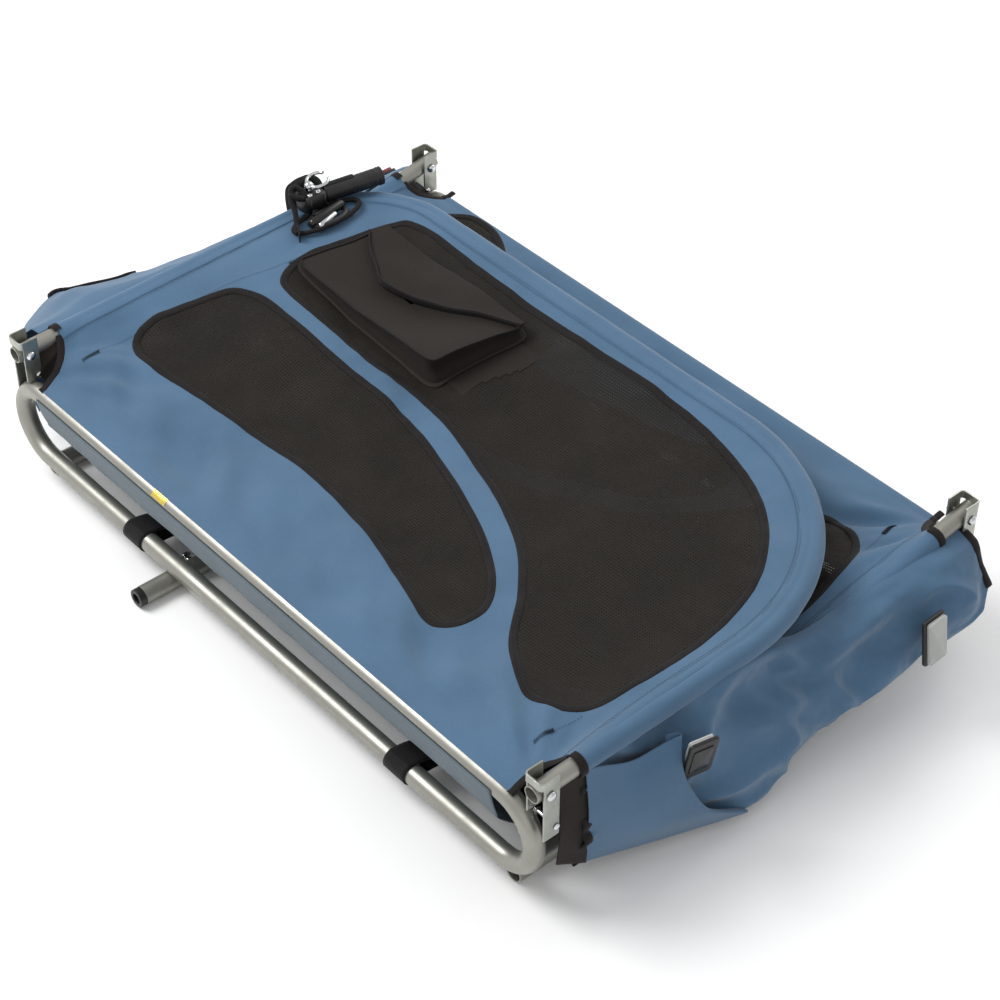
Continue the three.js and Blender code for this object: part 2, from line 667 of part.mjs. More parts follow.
add(trailer, 'floor_sling', floorSling(), BLACK_CLOTH);
add(trailer, 'front_curtain', endCurtain(FRONT_CLOTH, -255, 280), BLUE_CLOTH);
add(trailer, 'rear_curtain', endCurtain(REAR_CLOTH, -260, 236), BLUE_CLOTH);
add(trailer, 'roof_roll', roofRoll(), BLUE_CLOTH);
add(trailer, 'seat_back', seatBack(), BLACK_CLOTH);
add(trailer, 'seat_cushion', seatCushion(), BLACK_CLOTH);
add(trailer, 'right_harness_strap', harnessStrap(SEAT.rear + 90), WEBBING);
add(trailer, 'left_harness_strap', harnessStrap(SEAT.front - 80), WEBBING);
add(trailer, 'harness_buckle', harnessBuckle(), PLASTIC);
add(trailer, 'tow_arm', towArm(), PAINTED_TUBE);

addReflector('front_left', [514.5, 180, 106], -33, CLEAR_LENS, 1);
addReflector('front_right', [506, -132, 139], -45, CLEAR_LENS, -1);
addReflector('rear_left', [-472, 256, 112], 24, RED_LENS, -1);
addReflector('rear_right', [-524, -150, 84], -18, RED_LENS, -1);

export default trailer;
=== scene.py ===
"""Child bicycle trailer, folded flat with its wheels off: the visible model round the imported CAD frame.

Every length below is in millimetres in the row frame until a mesh is made, and the meshes are in metres.
"""

import json
import math

import bpy
import numpy as np
from mathutils import Matrix, Vector


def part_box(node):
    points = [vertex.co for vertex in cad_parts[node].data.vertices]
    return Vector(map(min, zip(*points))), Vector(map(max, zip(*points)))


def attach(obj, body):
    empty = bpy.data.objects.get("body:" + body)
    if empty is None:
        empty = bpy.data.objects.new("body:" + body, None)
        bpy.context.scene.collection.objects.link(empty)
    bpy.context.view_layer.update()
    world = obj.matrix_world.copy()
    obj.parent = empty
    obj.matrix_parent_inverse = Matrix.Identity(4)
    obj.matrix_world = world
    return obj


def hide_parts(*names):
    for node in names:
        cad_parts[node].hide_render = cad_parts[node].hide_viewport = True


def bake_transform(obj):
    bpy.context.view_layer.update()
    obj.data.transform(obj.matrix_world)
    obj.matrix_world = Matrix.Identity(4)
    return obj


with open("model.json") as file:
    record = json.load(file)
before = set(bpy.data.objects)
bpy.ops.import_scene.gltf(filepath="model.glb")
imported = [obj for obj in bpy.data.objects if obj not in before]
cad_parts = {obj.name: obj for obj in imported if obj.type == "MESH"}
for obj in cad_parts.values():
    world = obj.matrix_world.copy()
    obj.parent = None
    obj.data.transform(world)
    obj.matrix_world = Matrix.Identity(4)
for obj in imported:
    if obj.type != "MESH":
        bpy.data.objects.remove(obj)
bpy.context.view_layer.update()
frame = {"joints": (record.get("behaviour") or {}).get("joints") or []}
MM = 0.001


# ---------------- sizes, from the frame
def low_high(node):
    """Lowest and highest corner of a CAD node."""
    low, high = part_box(node)
    return np.array(low) / MM, np.array(high) / MM


def middle(node):
    low, high = low_high(node)
    return (low + high) / 2


JOINTS = {joint["name"]: joint for joint in frame["joints"]}
REAR_X = middle("rear_right_bracket")[0]
FRONT_X = middle("front_right_bracket")[0]
BRACKET_LOW, BRACKET_HIGH = low_high("front_left_bracket")
LOOP_LOW, LOOP_HIGH = low_high("left_side_loop")
LOOP_Y = middle("left_side_loop")[1]
LOOP_R = (LOOP_HIGH[1] - LOOP_LOW[1]) / 2
CROSS_R = low_high("front_cross_tube")[1][2] / 2
PIVOT_Y, PIVOT_Z = (value / MM for value in JOINTS["left_hoop_fold"]["pos_m"][1:])

# A hoop lies in a plane through its pivots. Reach is the distance from them along that plane, and the legs
# go on past them by the tail.
HOOP_R = 9.5
HOOP_BORE_R = 8.2
HOOP_REACH = 500
HOOP_TAIL = 13
REAR_BEND = 120
FRONT_BEND = 240
REAR_CENTRE = (REAR_X + REAR_BEND, HOOP_REACH - REAR_BEND)
FRONT_CENTRE = (FRONT_X - FRONT_BEND, HOOP_REACH - FRONT_BEND)
CROSS_BORE_R = 9.2
# Sides are -1 for the right and 1 for the left, each with the tilt of its folded hoop.
TILTS = {-1: math.radians(1.5), 1: math.radians(12)}
NAMES = {-1: "right", 1: "left"}
CLOTH = 0.8
TURNED_SIDES = 36
RIPPLE_TABLE = (97, 89)


# ---------------- arrays
def smooth(t):
    """0 to 1, level at both ends."""
    t = np.clip(t, 0, 1)
    return t * t * (3 - 2 * t)


def bump(t):
    """1 at 0, falling smoothly to 0 at 1 and -1."""
    return smooth(1 - np.abs(t))


def ripple(u, v, scale, seed):
    """Smooth random height between -1 and 1, with features about scale across."""
    rows, columns = RIPPLE_TABLE
    table = np.random.default_rng(seed).uniform(-1, 1, RIPPLE_TABLE)
    u, v = np.asarray(u, float) / scale + 31.7, np.asarray(v, float) / scale + 27.3
    i, j = np.floor(u).astype(int), np.floor(v).astype(int)
    s, t = smooth(u - i), smooth(v - j)

    def at(a, b):
        return table[(i + a) % rows, (j + b) % columns]

    low = at(0, 0) * (1 - s) + at(1, 0) * s
    high = at(0, 1) * (1 - s) + at(1, 1) * s
    return low * (1 - t) + high * t


def through(points, count, closed=False):
    """count points along a smooth curve that passes through points, evenly along it."""
    points = np.asarray(points, float)
    if closed:
        wrap = np.concatenate([points[-1:], points, points[:2]])
    else:
        wrap = np.concatenate([2 * points[:1] - points[1:2], points, 2 * points[-1:] - points[-2:-1]])
    t = np.linspace(0, 1, 24, endpoint=False)[:, None]
    dense = []
    for a, b, c, d in zip(wrap, wrap[1:], wrap[2:], wrap[3:]):
        curve = 2 * b + (c - a) * t + (2 * a - 5 * b + 4 * c - d) * t**2 + (3 * b - a - 3 * c + d) * t**3
        dense.append(0.5 * curve)
    dense = np.concatenate([*dense, points[:1] if closed else points[-1:]])
    return evenly(dense, count, closed)


def evenly(line, count, closed=False):
    """count points at even steps along a polyline; a closed one doesn't repeat its first point."""
    line = np.asarray(line, float)
    length = np.concatenate([[0], np.cumsum(np.linalg.norm(np.diff(line, axis=0), axis=1))])
    at = np.linspace(0, length[-1], count + 1)[:-1] if closed else np.linspace(0, length[-1], count)
    return np.stack([np.interp(at, length, line[:, k]) for k in range(line.shape[1])], -1)


def tangents(line, closed=False):
    """Unit vectors along a line, one for each point."""
    along = np.roll(line, -1, 0) - np.roll(line, 1, 0) if closed else np.gradient(line, axis=0)
    return along / np.linalg.norm(along, axis=1, keepdims=True)


def left_of(line, closed=False):
    """Unit vectors across a flat line, to the left of the way it runs."""
    along = tangents(line, closed)
    return np.stack([-along[:, 1], along[:, 0]], -1)


def inside(polygon, x, y):
    """Which points lie inside a closed polygon."""
    result = np.zeros(np.shape(x), bool)
    x0, y0 = polygon[:, 0], polygon[:, 1]
    x1, y1 = np.roll(x0, -1), np.roll(y0, -1)
    for a, b, c, d in zip(x0, y0, x1, y1):
        if b != d:
            result ^= ((b > y) != (d > y)) & (x < (c - a) * (y - b) / (d - b) + a)
    return result


def away(line, x, y):
    """Distance from each point to the nearest point of a dense line."""
    best = np.full(np.shape(x), 1e9)
    for a, b in line:
        best = np.minimum(best, (x - a) ** 2 + (y - b) ** 2)
    return np.sqrt(best)


# ---------------- meshes
def piece(name, verts, faces, material, uv=None, flat=False):
    """A mesh object. uv gives one pair per vertex, in metres of cloth or surface."""
    mesh = bpy.data.meshes.new(name)
    places = [tuple(v) for v in np.asarray(verts, float) * MM]
    mesh.from_pydata(places, [], [tuple(map(int, face)) for face in faces])
    mesh.materials.append(material)
    mesh.update()
    mesh.polygons.foreach_set("use_smooth", [not flat] * len(mesh.polygons))
    if uv is not None:
        corners = np.zeros(len(mesh.loops), int)
        mesh.loops.foreach_get("vertex_index", corners)
        layer = mesh.uv_layers.new(name="cloth")
        layer.data.foreach_set("uv", (np.asarray(uv, float)[corners] * MM).ravel())
    obj = bpy.data.objects.new(name, mesh)
    bpy.context.scene.collection.objects.link(obj)
    return obj


def grid_faces(rows, columns, close_rows=False, close_columns=False):
    """Four-sided faces between neighbouring points of a grid, which can close on itself either way."""
    i = np.arange(rows if close_rows else rows - 1)[:, None]
    j = np.arange(columns if close_columns else columns - 1)[None, :]
    a, b = i * columns + j, ((i + 1) % rows) * columns + j
    c, d = ((i + 1) % rows) * columns + (j + 1) % columns, i * columns + (j + 1) % columns
    return np.stack([a, b, c, d], -1).reshape(-1, 4)


def grid_uv(points):
    """Cloth coordinates of a grid of points: the lengths along its rows and its columns."""
    along = np.linalg.norm(np.diff(points, axis=0), axis=2).mean(1)
    across = np.linalg.norm(np.diff(points, axis=1), axis=2).mean(0)
    u, v = (np.concatenate([[0], np.cumsum(steps)]) for steps in (along, across))
    return np.stack(np.meshgrid(u, v, indexing="ij"), -1).reshape(-1, 2)


def net(name, points, faces, material, flat=False):
    """A mesh object from rows of points, whose cloth coordinates follow the rows."""
    return piece(name, points.reshape(-1, 3), faces, material, grid_uv(points), flat)


def grid(name, points, material, close_rows=False, close_columns=False, thick=0):
    points = np.asarray(points, float)
    obj = net(name, points, grid_faces(*points.shape[:2], close_rows, close_columns), material)
    return thicken(obj, thick) if thick else obj


def thicken(obj, thick):
    """Gives a sheet its thickness, half to each side."""
    solid = obj.modifiers.new("thickness", "SOLIDIFY")
    solid.thickness = thick * MM
    solid.offset = 0
    return obj


def rounded(obj, width, segments, angle):
    """Small round edges, which catch the light as real ones do."""
    weld = obj.modifiers.new("weld", "WELD")
    weld.merge_threshold = 0.01 * MM
    bevel = obj.modifiers.new("edges", "BEVEL")
    bevel.width = width * MM
    bevel.segments = segments
    bevel.limit_method = "ANGLE"
    bevel.angle_limit = math.radians(angle)
    bevel.harden_normals = True
    return obj


def subdivided(obj):
    modifier = obj.modifiers.new("finer", "SUBSURF")
    modifier.levels = modifier.render_levels = 1
    return obj


def carried(line, up, closed):
    """Two directions across a line at each point, turned as little as possible from one to the next."""
    along = tangents(line, closed)
    normal = np.asarray(up, float)
    normals = []
    for t in along:
        normal = normal - t * (normal @ t)
        normal = normal / np.linalg.norm(normal)
        normals.append(normal)
    normals = np.array(normals)
    return normals, np.cross(along, normals)


def along_line(line, section, up=(0, 0, 1), closed=False):
    """A flat section of [across, up] points carried along a line: one row of points per place."""
    line, section = np.asarray(line, float), np.asarray(section, float)
    normal, side = carried(line, up, closed)
    return line[:, None] + side[:, None] * section[None, :, :1] + normal[:, None] * section[None, :, 1:]


def swept(name, line, section, material, up=(0, 0, 1), closed=False):
    """A solid bar with a closed section."""
    points = along_line(line, section, up, closed)
    rows, columns = points.shape[:2]
    faces = [list(face) for face in grid_faces(rows, columns, closed, True)]
    if not closed:
        faces += [list(range(columns))[::-1], list(range((rows - 1) * columns, rows * columns))]
    return net(name, points, faces, material)


def flat_section(width, low, high):
    """Four corners for swept webbing or tape."""
    return [(low, -width / 2), (low, width / 2), (high, width / 2), (high, -width / 2)]


def ring(radius, count):
    """[across, up] points round a circle."""
    angle = np.linspace(0, 2 * math.pi, count, endpoint=False)
    return np.stack([np.cos(angle) * radius, np.sin(angle) * radius], -1)


def tube(name, line, radius, material, bore=0, closed=False, count=32, up=(0, 0, 1)):
    """A round tube. With a bore its wall is modelled, and its ends are open."""
    if not bore:
        return swept(name, line, ring(radius, count), material, up, closed)
    walls = [along_line(line, ring(radius, count), up), along_line(line, ring(bore, count), up)[::-1]]
    points = np.concatenate(walls)
    return rounded(net(name, points, grid_faces(len(points), count, True, True), material), 0.3, 2, 60)


def turned(name, profile, origin, axis, material):
    """A piece turned about an axis: [radius, distance along the axis] points, open or ending on the axis."""
    axis = np.asarray(axis, float) / np.linalg.norm(axis)
    helper = np.array([0, 0, 1.0]) if abs(axis[2]) < 0.9 else np.array([1.0, 0, 0])
    e1 = np.cross(axis, helper)
    e1 /= np.linalg.norm(e1)
    e2 = np.cross(axis, e1)
    across, up = np.hsplit(ring(1, TURNED_SIDES), 2)
    circle = e1 * across + e2 * up
    points = np.array([np.asarray(origin, float) + axis * h + circle * max(r, 0.01) for r, h in profile])
    faces = grid_faces(len(points), TURNED_SIDES, False, True)
    return rounded(net(name, points, faces, material), 0.35, 2, 40)


def joined(name, parts):
    """Several pieces made one object, under the first one's settings."""
    for part in parts:
        for modifier in part.modifiers[:]:
            bpy.context.view_layer.objects.active = part
            with bpy.context.temp_override(object=part, active_object=part, selected_objects=[part]):
                bpy.ops.object.modifier_apply(modifier=modifier.name)
    chosen = {"selected_editable_objects": parts, "selected_objects": parts}
    with bpy.context.temp_override(active_object=parts[0], **chosen):
        bpy.ops.object.join()
    parts[0].name = name
    return parts[0]


def settle(obj, body, slot, *nodes):
    """Rides obj on a body and hides the CAD nodes that it stands for; slot is not used."""
    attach(obj, body)
    if nodes:
        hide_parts(*nodes)
    return obj


# ---------------- materials
def linear(*levels):
    """A colour given as 0 to 255 values, as Blender's sockets want it."""
    shares = [level / 255 for level in levels]
    return tuple(s / 12.92 if s <= 0.04 else ((s + 0.055) / 1.055) ** 2.4 for s in shares) + (1.0,)


class Look:
    """A Principled material and the nodes that feed it."""

    def __init__(self, name, **sockets):
        self.material = bpy.data.materials.new(name)
        self.material.use_nodes = True
        self.nodes = self.material.node_tree.nodes
        self.links = self.material.node_tree.links
        self.shader = self.nodes["Principled BSDF"]
        for key, value in sockets.items():
            self.shader.inputs[key.replace("_", " ")].default_value = value

    def add(self, kind, **values):
        node = self.nodes.new("ShaderNode" + kind)
        for key, value in values.items():
            setattr(node, key, value)
        return node

    def feed(self, socket, value):
        if isinstance(value, bpy.types.NodeSocket):
            self.links.new(value, socket)
        else:
            socket.default_value = value

    def math(self, operation, *values):
        node = self.add("Math", operation=operation)
        for socket, value in zip(node.inputs, values):
            self.feed(socket, value)
        return node.outputs[0]

    def mix(self, share, a, b):
        node = self.add("Mix", data_type="RGBA")
        for socket, value in zip((node.inputs[0], node.inputs[6], node.inputs[7]), (share, a, b)):
            self.feed(socket, value)
        return node.outputs[2]

    def place(self):
        return self.add("TexCoord").outputs["Object"]

    def noise(self, scale, detail, rough=0.55):
        node = self.add("TexNoise")
        for key, value in (("Scale", scale), ("Detail", detail), ("Roughness", rough)):
            node.inputs[key].default_value = value
        self.links.new(self.place(), node.inputs["Vector"])
        return node.outputs["Fac"]

    def ramp(self, value, low, high, a=0.0, b=1.0):
        node = self.add("MapRange")
        for socket, v in zip(node.inputs, (value, low, high, a, b)):
            self.feed(socket, v)
        return node.outputs[0]

    def spread(self, noise, a, b):
        """A noise value spread over a to b."""
        return self.ramp(noise, 0.3, 0.7, a, b)

    def tint(self, share, colour, shade):
        """Base colour between two colours given as 0 to 255 values."""
        self.set(Base_Color=self.mix(share, linear(*colour), linear(*shade)))

    def waves(self, pitch_u, pitch_v):
        """Two sines of the cloth coordinates, with those pitches in millimetres."""
        cloth = self.add("UVMap", uv_map="cloth").outputs[0]
        split = self.add("SeparateXYZ")
        self.links.new(cloth, split.inputs[0])
        return [
            self.math("SINE", self.math("MULTIPLY", split.outputs[k], 2 * math.pi / (pitch * MM)))
            for k, pitch in enumerate((pitch_u, pitch_v))
        ]

    def set(self, **sockets):
        for key, value in sockets.items():
            self.feed(self.shader.inputs[key.replace("_", " ")], value)

    def bump(self, height, strength, distance):
        node = self.add("Bump")
        node.inputs["Strength"].default_value = strength
        node.inputs["Distance"].default_value = distance * MM
        self.links.new(height, node.inputs["Height"])
        self.links.new(node.outputs[0], self.shader.inputs["Normal"])


def cloth(name, colour, shade, pitch=0.9, rough=0.72, sheen=0.2, shine=0.35):
    """Plain-weave cloth: threads over and under, with slow changes of tone."""
    look = Look(name, Sheen_Weight=sheen, Sheen_Roughness=0.5, Specular_IOR_Level=shine)
    u, v = look.waves(pitch, pitch)
    weave = look.math("MULTIPLY", u, v)
    tone = look.noise(9, 4)
    fine = look.noise(700, 2)
    share = look.math("ADD", look.spread(tone, 0.0, 0.45), look.ramp(weave, -1.0, 1.0, 0.0, 0.3))
    share = look.math("ADD", share, look.spread(fine, -0.08, 0.08))
    look.tint(share, colour, shade)
    look.set(Roughness=look.spread(fine, rough - 0.06, rough + 0.06))
    look.bump(look.math("ADD", weave, look.math("MULTIPLY", fine, 0.8)), 0.35, 0.12)
    return look.material


def ribbed(name, colour, shade, pitch=1.6):
    """Tape and webbing: ribs across its length, and a fine grain along it."""
    look = Look(name, Sheen_Weight=0.06, Sheen_Roughness=0.4, Specular_IOR_Level=0.22)
    u, v = look.waves(pitch, 2.6)
    grain = look.noise(500, 2)
    ribs = look.math("ADD", u, look.math("MULTIPLY", v, 0.3))
    share = look.math("ADD", look.ramp(ribs, -1.0, 1.0, 0.0, 0.5), look.spread(grain, 0.0, 0.3))
    look.tint(share, colour, shade)
    look.set(Roughness=look.spread(grain, 0.62, 0.78))
    look.bump(ribs, 0.6, 0.25)
    return look.material


def window_mesh(name, colour, light, pitch):
    """Open mesh: threads both ways with half-clear holes between them."""
    look = Look(name, Roughness=0.6, Specular_IOR_Level=0.16)
    u, v = look.waves(pitch, pitch)
    hole = look.math("MULTIPLY", look.ramp(u, -0.1, 0.6), look.ramp(v, -0.1, 0.6))
    tone = look.noise(14, 3)
    weave = look.math("MAXIMUM", look.math("ABSOLUTE", u), look.math("ABSOLUTE", v))
    share = look.ramp(look.math("ADD", weave, look.math("MULTIPLY", tone, 0.8)), 0.6, 1.7)
    look.tint(share, light, colour)
    look.set(Alpha=look.ramp(hole, 0.0, 1.0, 1.0, 0.5))
    look.bump(look.math("SUBTRACT", 1.0, hole), 0.5, 0.3)
    return look.material


def metal(name, colour, shade, rough, metallic, relief, blotch=25):
    """Metal with slow blotches, fine grain and slightly worn, smoother patches."""
    look = Look(name, Metallic=metallic, Specular_IOR_Level=0.5)
    slow, fast = look.noise(blotch, 5, 0.6), look.noise(900, 3, 0.6)
    share = look.math("ADD", look.ramp(slow, 0.35, 0.7, 0.0, 0.8), look.spread(fast, 0.0, 0.2))
    look.tint(share, colour, shade)
    worn = look.spread(slow, rough * 0.8, rough * 1.25)
    look.set(Roughness=look.math("ADD", worn, look.spread(fast, -0.03, 0.03)))
    look.bump(fast, relief, 0.05)
    return look.material


def plastic(name, colour, rough, relief=0.15):
    """Moulded plastic with a fine grain and faint scuffs."""
    look = Look(name, Specular_IOR_Level=0.5)
    grain, scuff = look.noise(900, 2), look.noise(60, 6, 0.7)
    pale = tuple(min(255, c + 26) for c in colour)
    look.tint(look.ramp(scuff, 0.55, 0.8, 0.0, 0.6), colour, pale)
    look.set(Roughness=look.ramp(scuff, 0.3, 0.75, rough, rough + 0.18))
    look.bump(grain, relief, 0.08)
    return look.material


def lens(name, colour, shade):
    """Reflector lens: upright ribs and small prisms behind a glossy face."""
    look = Look(name, Coat_Weight=0.6, Coat_Roughness=0.05, Specular_IOR_Level=0.6)
    u, v = look.waves(4.0, 2.2)
    prism = look.math("MULTIPLY", look.math("ABSOLUTE", u), look.math("ABSOLUTE", v))
    share = look.ramp(prism, 0.0, 1.0)
    look.tint(share, colour, shade)
    look.set(Roughness=look.ramp(prism, 0.0, 1.0, 0.1, 0.25))
    look.bump(look.math("ADD", look.math("ABSOLUTE", u), prism), 0.8, 0.6)
    return look.material


def foil(name, colour, shade):
    """Gold foil with a faceted sparkle."""
    look = Look(name, Metallic=0.75)
    cells = look.add("TexVoronoi")
    cells.inputs["Scale"].default_value = 420
    look.links.new(look.place(), cells.inputs["Vector"])
    look.tint(cells.outputs["Distance"], colour, shade)
    look.set(Roughness=0.3)
    look.bump(cells.outputs["Distance"], 0.6, 0.2)
    return look.material


BLUE = cloth("blue_cloth", (72, 106, 136), (53, 81, 107))
# Skirt cloth: its greyer colour is partly the coated reverse side and partly painted reflected light on the
# underside.
BLUE_BACK_AND_REFLECTION = cloth("skirt_cloth", (80, 97, 106), (62, 77, 86), rough=0.62, sheen=0.1)
BLACK = cloth("black_cloth", (38, 33, 29), (27, 23, 20), pitch=1.0, rough=0.7, sheen=0.03, shine=0.18)
SEAT_CLOTH = cloth("seat_cloth", (62, 62, 64), (40, 40, 43), pitch=1.6, rough=0.85, sheen=0.4)
MESH = window_mesh("window_mesh", (17, 15, 12), (44, 40, 34), pitch=3.4)
TAPE = ribbed("binding_tape", (27, 22, 21), (15, 12, 12))
WEBBING = ribbed("webbing", (22, 20, 21), (11, 10, 11), pitch=1.8)
THREAD = ribbed("thread", (34, 40, 48), (20, 24, 30), pitch=0.8)
TUBE_PAINT = metal("tube_paint", (158, 157, 150), (146, 145, 138), 0.42, 0.85, 0.03)
ZINC = metal("zinc_plate", (176, 178, 170), (150, 153, 145), 0.32, 0.9, 0.08, blotch=60)
CHROME = metal("chrome", (222, 224, 225), (196, 198, 200), 0.09, 1.0, 0.03)
PLASTIC = plastic("black_plastic", (24, 22, 23), 0.34)
GLOSS_PLASTIC = plastic("gloss_plastic", (16, 15, 16), 0.14, 0.05)
CLEAR_LENS = lens("clear_lens", (214, 217, 213), (120, 124, 122))
RED_LENS = lens("red_lens", (150, 12, 26), (84, 4, 12))
GOLD = foil("gold_foil", (212, 186, 52), (236, 214, 120))


# ---------------- camera, light and floor
EYE = np.array([1547.8, -1293.5, 1797.7])
LOOK_ALONG = Vector((-0.57207, 0.49701, -0.65499))
LOOK_UP = Vector((-0.49342, 0.42688, 0.75552))
LENS_MM = 87.19
SENSOR_MM = 36
FLOOR_HALF = 6000


def add_camera():
    """The camera, from the fit to the photo's tubes and brackets."""
    data = bpy.data.cameras.new("camera")
    data.lens, data.sensor_width = LENS_MM, SENSOR_MM
    camera = bpy.data.objects.new("camera", data)
    bpy.context.scene.collection.objects.link(camera)
    right = LOOK_ALONG.cross(LOOK_UP).normalized()
    up = right.cross(LOOK_ALONG).normalized()
    back = -LOOK_ALONG.normalized()
    camera.matrix_world = Matrix((
        (right.x, up.x, back.x, EYE[0] * MM),
        (right.y, up.y, back.y, EYE[1] * MM),
        (right.z, up.z, back.z, EYE[2] * MM),
        (0, 0, 0, 1),
    ))
    bpy.context.scene.camera = camera


def add_light(name, where, size, power):
    """A square light that faces the trailer; where and size are in metres, power in watts."""
    data = bpy.data.lights.new(name, "AREA")
    data.energy, data.size = power, size
    light = bpy.data.objects.new(name, data)
    bpy.context.scene.collection.objects.link(light)
    light.location = where
    light.rotation_euler = (Vector((0, 0, 0.1)) - Vector(where)).to_track_quat("-Z", "Y").to_euler()


def add_stage():
    """A nearly white floor, an even white sky and three soft lights."""
    look = Look("floor", Roughness=0.9, Specular_IOR_Level=0.1)
    look.tint(look.spread(look.noise(3, 2), 0.0, 0.15), (250, 250, 250), (240, 240, 239))
    corners = [(x, y, 0) for x, y in ((-1, -1), (1, -1), (1, 1), (-1, 1))]
    floor = piece("floor", np.array(corners) * FLOOR_HALF, [(0, 1, 2, 3)], look.material, flat=True)
    floor.location.z = -0.0005
    world = bpy.data.worlds.new("studio")
    world.use_nodes = True
    background = world.node_tree.nodes["Background"].inputs
    background["Color"].default_value = (1, 1, 1, 1)
    background["Strength"].default_value = 0.68
    bpy.context.scene.world = world
    bpy.context.scene.view_settings.view_transform = "Standard"
    add_light("key", (-1.6, -1.4, 2.6), 1.6, 76)
    add_light("fill", (2.4, -1.8, 1.6), 2.4, 7)
    add_light("rim", (-0.4, 2.6, 2.0), 2.0, 26)


add_camera()
add_stage()


# ---------------- tubes
def arc(centre, radius, start, end, count):
    """Points on an arc in a plane, from one angle to another in degrees, both ends included."""
    angle = np.radians(np.linspace(start, end, count))
    return np.stack([centre[0] + radius * np.cos(angle), centre[1] + radius * np.sin(angle)], -1)


def loop_line(y):
    """Centre line of a side loop: two rails joined by half rounds."""
    low, high = LOOP_LOW[2] + LOOP_R, LOOP_HIGH[2] - LOOP_R
    rear, front = LOOP_LOW[0] + LOOP_R, LOOP_HIGH[0] - LOOP_R
    r = (high - low) / 2
    ends = [arc((front - r, low + r), r, -90, 90, 28), arc((rear + r, low + r), r, 90, 270, 28)]
    x, z = evenly(np.concatenate([*ends, ends[0][:1]]), 220, closed=True).T
    return np.stack([x, np.full(len(x), y), z], -1)


def hoop_outline(foot, step=4.0):
    """(x, reach) along a hoop's centre line, from its rear leg round to its front leg, both at reach foot."""
    rear, front = arc(REAR_CENTRE, REAR_BEND, 180, 90, 24), arc(FRONT_CENTRE, FRONT_BEND, 90, 0, 36)
    line = np.concatenate([[(REAR_X, foot)], rear, front, [(FRONT_X, foot)]])
    length = np.linalg.norm(np.diff(line, axis=0), axis=1).sum()
    return evenly(line, int(length / step))


def on_hoop(side, x, reach, w):
    """Row-frame points for places in a hoop's plane: x, reach from the pivot, height above the plane."""
    c, s = math.cos(TILTS[side]), math.sin(TILTS[side])
    x, reach, w = np.broadcast_arrays(*(np.asarray(v, float) for v in (x, reach, w)))
    return np.stack([x, side * (PIVOT_Y - reach * c) - w * s, PIVOT_Z - side * reach * s + w * c], -1)


def in_hoop(side, y, z):
    """(reach, height above the hoop's plane) of a row-frame place: the reverse of on_hoop."""
    c, s = math.cos(TILTS[side]), math.sin(TILTS[side])
    dy, dz = y - side * PIVOT_Y, z - PIVOT_Z
    return -side * (dy * c + dz * s), -dy * s + dz * c


def add_tubes():
    """Side loops, hoops and the tubes across the trailer."""
    for side, name in NAMES.items():
        line = loop_line(side * LOOP_Y)
        loop = tube(f"{name}_loop_tube", line, LOOP_R, TUBE_PAINT, closed=True, up=(0, 1, 0))
        settle(loop, "base", "painted_tube", f"{name}_side_loop")
        x, reach = hoop_outline(-HOOP_TAIL).T
        hoop = tube(f"{name}_hoop_tube", on_hoop(side, x, reach, 0), HOOP_R, TUBE_PAINT, bore=HOOP_BORE_R)
        settle(hoop, f"{name}_side", "painted_tube", f"{name}_hoop")
    for node in ("rear_cross_tube", "front_cross_tube", "axle_tube"):
        low, high = low_high(node)
        end = high[1] if node == "axle_tube" else LOOP_Y - 4
        line = [((low[0] + high[0]) / 2, y, CROSS_R) for y in np.linspace(-end, end, 24)]
        shell = tube(f"{node}_shell", line, CROSS_R, TUBE_PAINT, bore=CROSS_BORE_R)
        settle(shell, "base", "painted_tube", node)


def add_axle_ends():
    """A bush in each end of the axle tube, and the sprung pin behind it that locks a wheel's axle."""
    bore, plug, wall, flange = 6, 8.8, 10.6, 8
    for side, name in NAMES.items():
        low, high = low_high(f"{name}_axle_bush")
        x, z, face = (low[0] + high[0]) / 2, (low[2] + high[2]) / 2, high[1] if side > 0 else -low[1]
        profile = [(bore, -flange - 14), (plug, -flange - 14), (plug, -flange), (wall, -flange), (wall, -0.6),
                   (wall - 0.6, 0), (bore + 0.6, 0), (bore, -0.6), (bore, -flange - 14)]
        bush = turned(f"{name}_bush", profile, (x, side * face, z), (0, side, 0), PLASTIC)
        settle(bush, "base", "black_plastic", f"{name}_axle_bush")
        low, high = low_high(f"{name}_axle_lock_pin")
        profile = [(0, 0), (4.6, 0), (5.8, 0.6), (7, 1.8), (7.4, 3), (7.4, 5), (3, 6), (3, 9.6), (5, 9.6),
                   (5, 11.4), (2.2, 11.4), (2.2, 18), (1.8, 18.5), (0, 18.5)]
        pin = turned(f"{name}_lock_pin", profile, (low[0], (low[1] + high[1]) / 2, z), (1, 0, 0), CHROME)
        settle(pin, f"{name}_lock", "chrome", f"{name}_axle_lock_pin")


# ---------------- brackets and bolts
BRACKET_SHEET = 2.0
WEB_DEPTH = 9.5
CORNER_R = 4.0
INNER_LEG_Z = 132.0


def bracket_outline():
    """(x, out) middle line of a bracket's channel, seen from above: leg, web, leg, with round corners."""
    half = (BRACKET_HIGH[0] - BRACKET_LOW[0] - BRACKET_SHEET) / 2
    web = BRACKET_HIGH[1] - BRACKET_SHEET / 2
    leg_end = BRACKET_LOW[1]
    return np.concatenate([
        [(-half, leg_end), (-half, leg_end + 8)],
        arc((-half + CORNER_R, web - CORNER_R), CORNER_R, 180, 90, 6),
        arc((half - CORNER_R, web - CORNER_R), CORNER_R, 90, 0, 6),
        [(half, leg_end + 8), (half, leg_end)],
    ])


